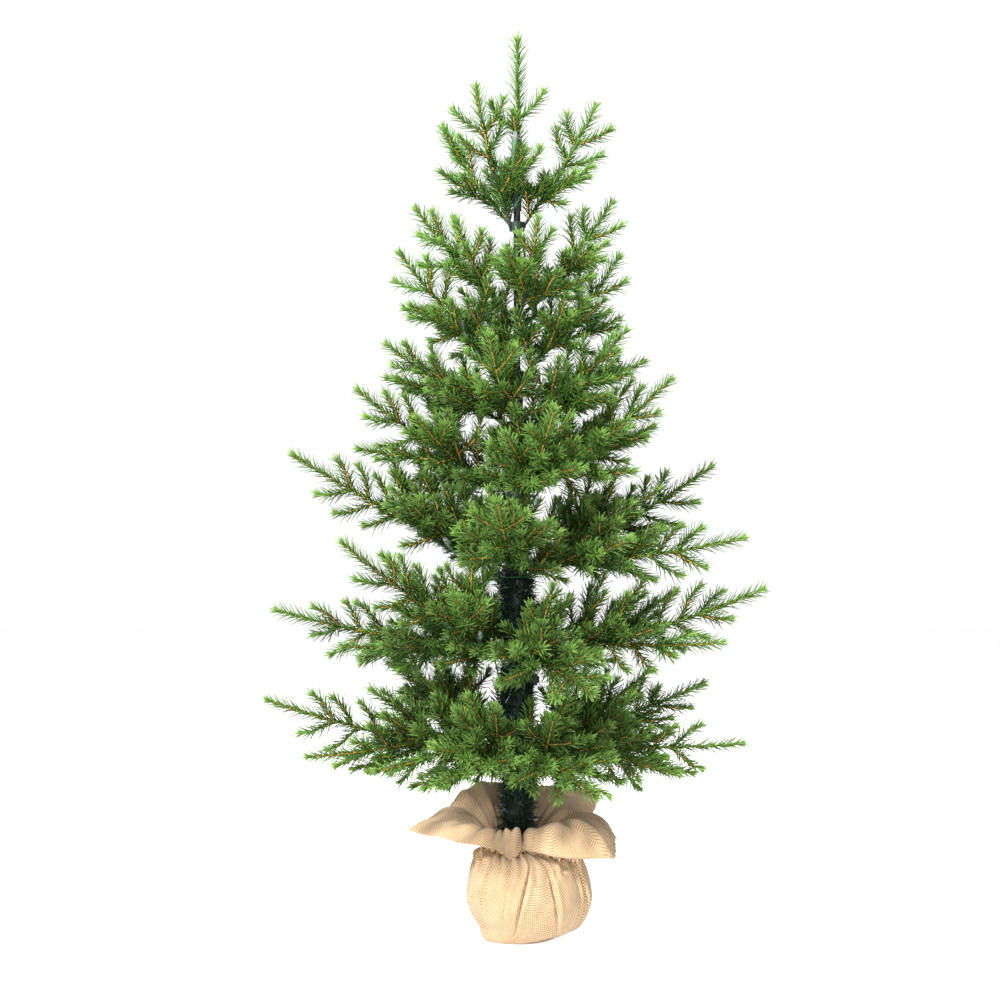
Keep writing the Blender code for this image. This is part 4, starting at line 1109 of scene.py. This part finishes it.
def glass_material():
    n = Nodes("clear_lamp")
    tint = n.ramp(n.noise(300.0), ((0.3, (0.86, 0.89, 0.90)), (0.7, (0.96, 0.97, 0.98))))
    n.base(tint)
    n.roughness(n.noise(500.0), 0.04, 0.12)
    put(n.shader, Transmission_Weight=0.75, IOR=1.45)
    return n.material


# --- CAD pieces that stay, with their own surfaces ---


# The starts of the pieces' names, the material's name, its two tones, the scale of its patches,
# its range of roughness, and where they differ, how metallic it is and how strong its bump.
HARDWARE = (
    ("pot", "pot_plastic", (0.05, 0.05, 0.05), (0.075, 0.075, 0.075), 60, 0.45, 0.6),
    ("cement", "poured_cement", (0.40, 0.39, 0.36), (0.60, 0.59, 0.55), 40, 0.85, 0.98, 0, 0.6),
    ("pole_socket", "socket_plastic", (0.012, 0.05, 0.03), (0.02, 0.07, 0.04), 80, 0.4, 0.55),
    ("lower_pole", "painted_pole", (0.008, 0.014, 0.012), (0.02, 0.03, 0.026), 70, 0.35, 0.5),
    ("upper_rod", "rod_steel", (0.012, 0.013, 0.013), (0.05, 0.052, 0.05), 120, 0.3, 0.5, 0.7),
    ("neck_tie", "jute_twine", (0.45, 0.30, 0.15), (0.66, 0.48, 0.27), 300, 0.85, 0.95, 0, 0.8),
    ("power_button", "button_plastic", (0.02, 0.02, 0.02), (0.035, 0.035, 0.035), 200, 0.3, 0.4),
    ("battery_contact", "contact_steel", (0.5, 0.48, 0.44), (0.7, 0.68, 0.64), 200, 0.2, 0.35, 0.95),
    (("battery_case", "battery_cover"), "case_plastic",
     (0.012, 0.045, 0.026), (0.02, 0.065, 0.038), 90, 0.4, 0.55),
    ("collar_", "collar_plastic", (0.008, 0.022, 0.014), (0.018, 0.04, 0.026), 150, 0.45, 0.6),
    ("battery_cell", "cell_wrap", (0.10, 0.105, 0.12), (0.16, 0.165, 0.18), 90, 0.25, 0.4, 0.5),
    ("garland_", "garland_core", (0.004, 0.018, 0.012), (0.010, 0.035, 0.022), 200, 0.5, 0.7),
)


def dress_hardware():
    for starts, *values in HARDWARE:
        surface = plain_material(*values)
        for name, node in frame["nodes"].items():
            if name.startswith(starts):
                node.data.materials.clear()
                node.data.materials.append(surface)


# --- Stage ---

SENSOR = 36  # the camera's own unit, mm
CAMERA_DISTANCE = 2.5
VIEW_WIDTH = 0.9934  # in the tree's plane
CAMERA_X = -0.0169
CAMERA_HEIGHT = 0.436
FLOOR = 6.0  # half the floor's side
WHITE = (1.0, 1.0, 1.0, 1.0)


def make_camera():
    """Level with the middle of the tree, straight in front, far enough to flatten it."""
    camera = bpy.data.cameras.new("camera")
    camera.sensor_width = SENSOR
    camera.lens = SENSOR * CAMERA_DISTANCE / VIEW_WIDTH
    made = placed("camera", camera)
    made.location = (CAMERA_X, -CAMERA_DISTANCE, CAMERA_HEIGHT)
    made.rotation_euler = (math.radians(90), 0, 0)
    bpy.context.scene.camera = made


def area_light(name, place, target, size, power, colour=(1, 1, 1)):
    lamp_data = bpy.data.lights.new(name, "AREA")
    lamp_data.shape = "DISK"
    lamp_data.size = size
    lamp_data.energy = power
    lamp_data.color = colour
    made = placed(name, lamp_data)
    made.location = place
    made.rotation_euler = (Vector(target) - Vector(place)).to_track_quat("-Z", "Y").to_euler()


def make_stage():
    """A pale floor, a white background and soft lights."""
    mesh = bpy.data.meshes.new("floor")
    corners = ((-FLOOR, -FLOOR, 0), (FLOOR, -FLOOR, 0), (FLOOR, FLOOR, 0), (-FLOOR, FLOOR, 0))
    mesh.from_pydata(corners, (), ((0, 1, 2, 3),))
    floor = placed("floor", mesh)
    n = Nodes("pale_floor")
    tint = n.ramp(n.noise(2.0), ((0.3, (0.90, 0.90, 0.90)), (0.7, (0.92, 0.92, 0.92))))
    n.base(tint)
    put(n.shader, Roughness=0.9, Emission_Color=WHITE)
    # The floor looks white, yet throws little light up into the tree.
    path = n.add("ShaderNodeLightPath")
    glow = n.math("ADD", n.math("MULTIPLY", path.outputs["Is Camera Ray"], 0.62), 0.14)
    n.link(glow, n.shader.inputs["Emission Strength"])
    mesh.materials.append(n.material)
    bpy.context.scene.view_settings.view_transform = "Standard"
    world = bpy.data.worlds.new("studio")
    world.use_nodes = True
    nodes, links = world.node_tree.nodes, world.node_tree.links
    seen = nodes["Background"]
    put(seen, Color=WHITE)
    around = nodes.new("ShaderNodeBackground")
    put(around, Color=WHITE, Strength=0.20)
    path = nodes.new("ShaderNodeLightPath")
    either = nodes.new("ShaderNodeMixShader")
    links.new(path.outputs["Is Camera Ray"], either.inputs["Fac"])
    links.new(around.outputs["Background"], either.inputs[1])
    links.new(seen.outputs["Background"], either.inputs[2])
    links.new(either.outputs["Shader"], nodes["World Output"].inputs["Surface"])
    bpy.context.scene.world = world
    area_light("key", (-1.4, -2.0, 2.2), (0, 0, 0.45), 0.5, 166, (1.0, 0.99, 0.97))
    area_light("fill", (0.9, -2.4, 0.42), (0, 0, 0.35), 1.2, 26)
    area_light("rim", (0.3, 2.0, 1.8), (0, 0, 0.5), 1.0, 22)
    area_light("low_front", (-0.25, -1.3, 0.30), (0, 0.04, 0.13), 0.35, 2.2)


def main():
    make_camera()
    make_stage()
    dress_hardware()
    cord = plain_material("cord_plastic", (0.012, 0.062, 0.026), (0.022, 0.100, 0.042), 200, 0.3, 0.45)
    holder = plain_material("lamp_holder", (0.09, 0.20, 0.10), (0.17, 0.30, 0.17), 300, 0.25, 0.4)
    make_lights(cord, (holder, glass_material()))
    needles = needle_material()
    for seed, name in enumerate(BRANCHES):
        make_branch(name, needles, seed + 11)
    make_leader(needles)
    make_garland(garland_material())
    wrap, rows = make_burlap(burlap_material())
    fray = make_fray(rows, burlap_material(woven=False))


main()
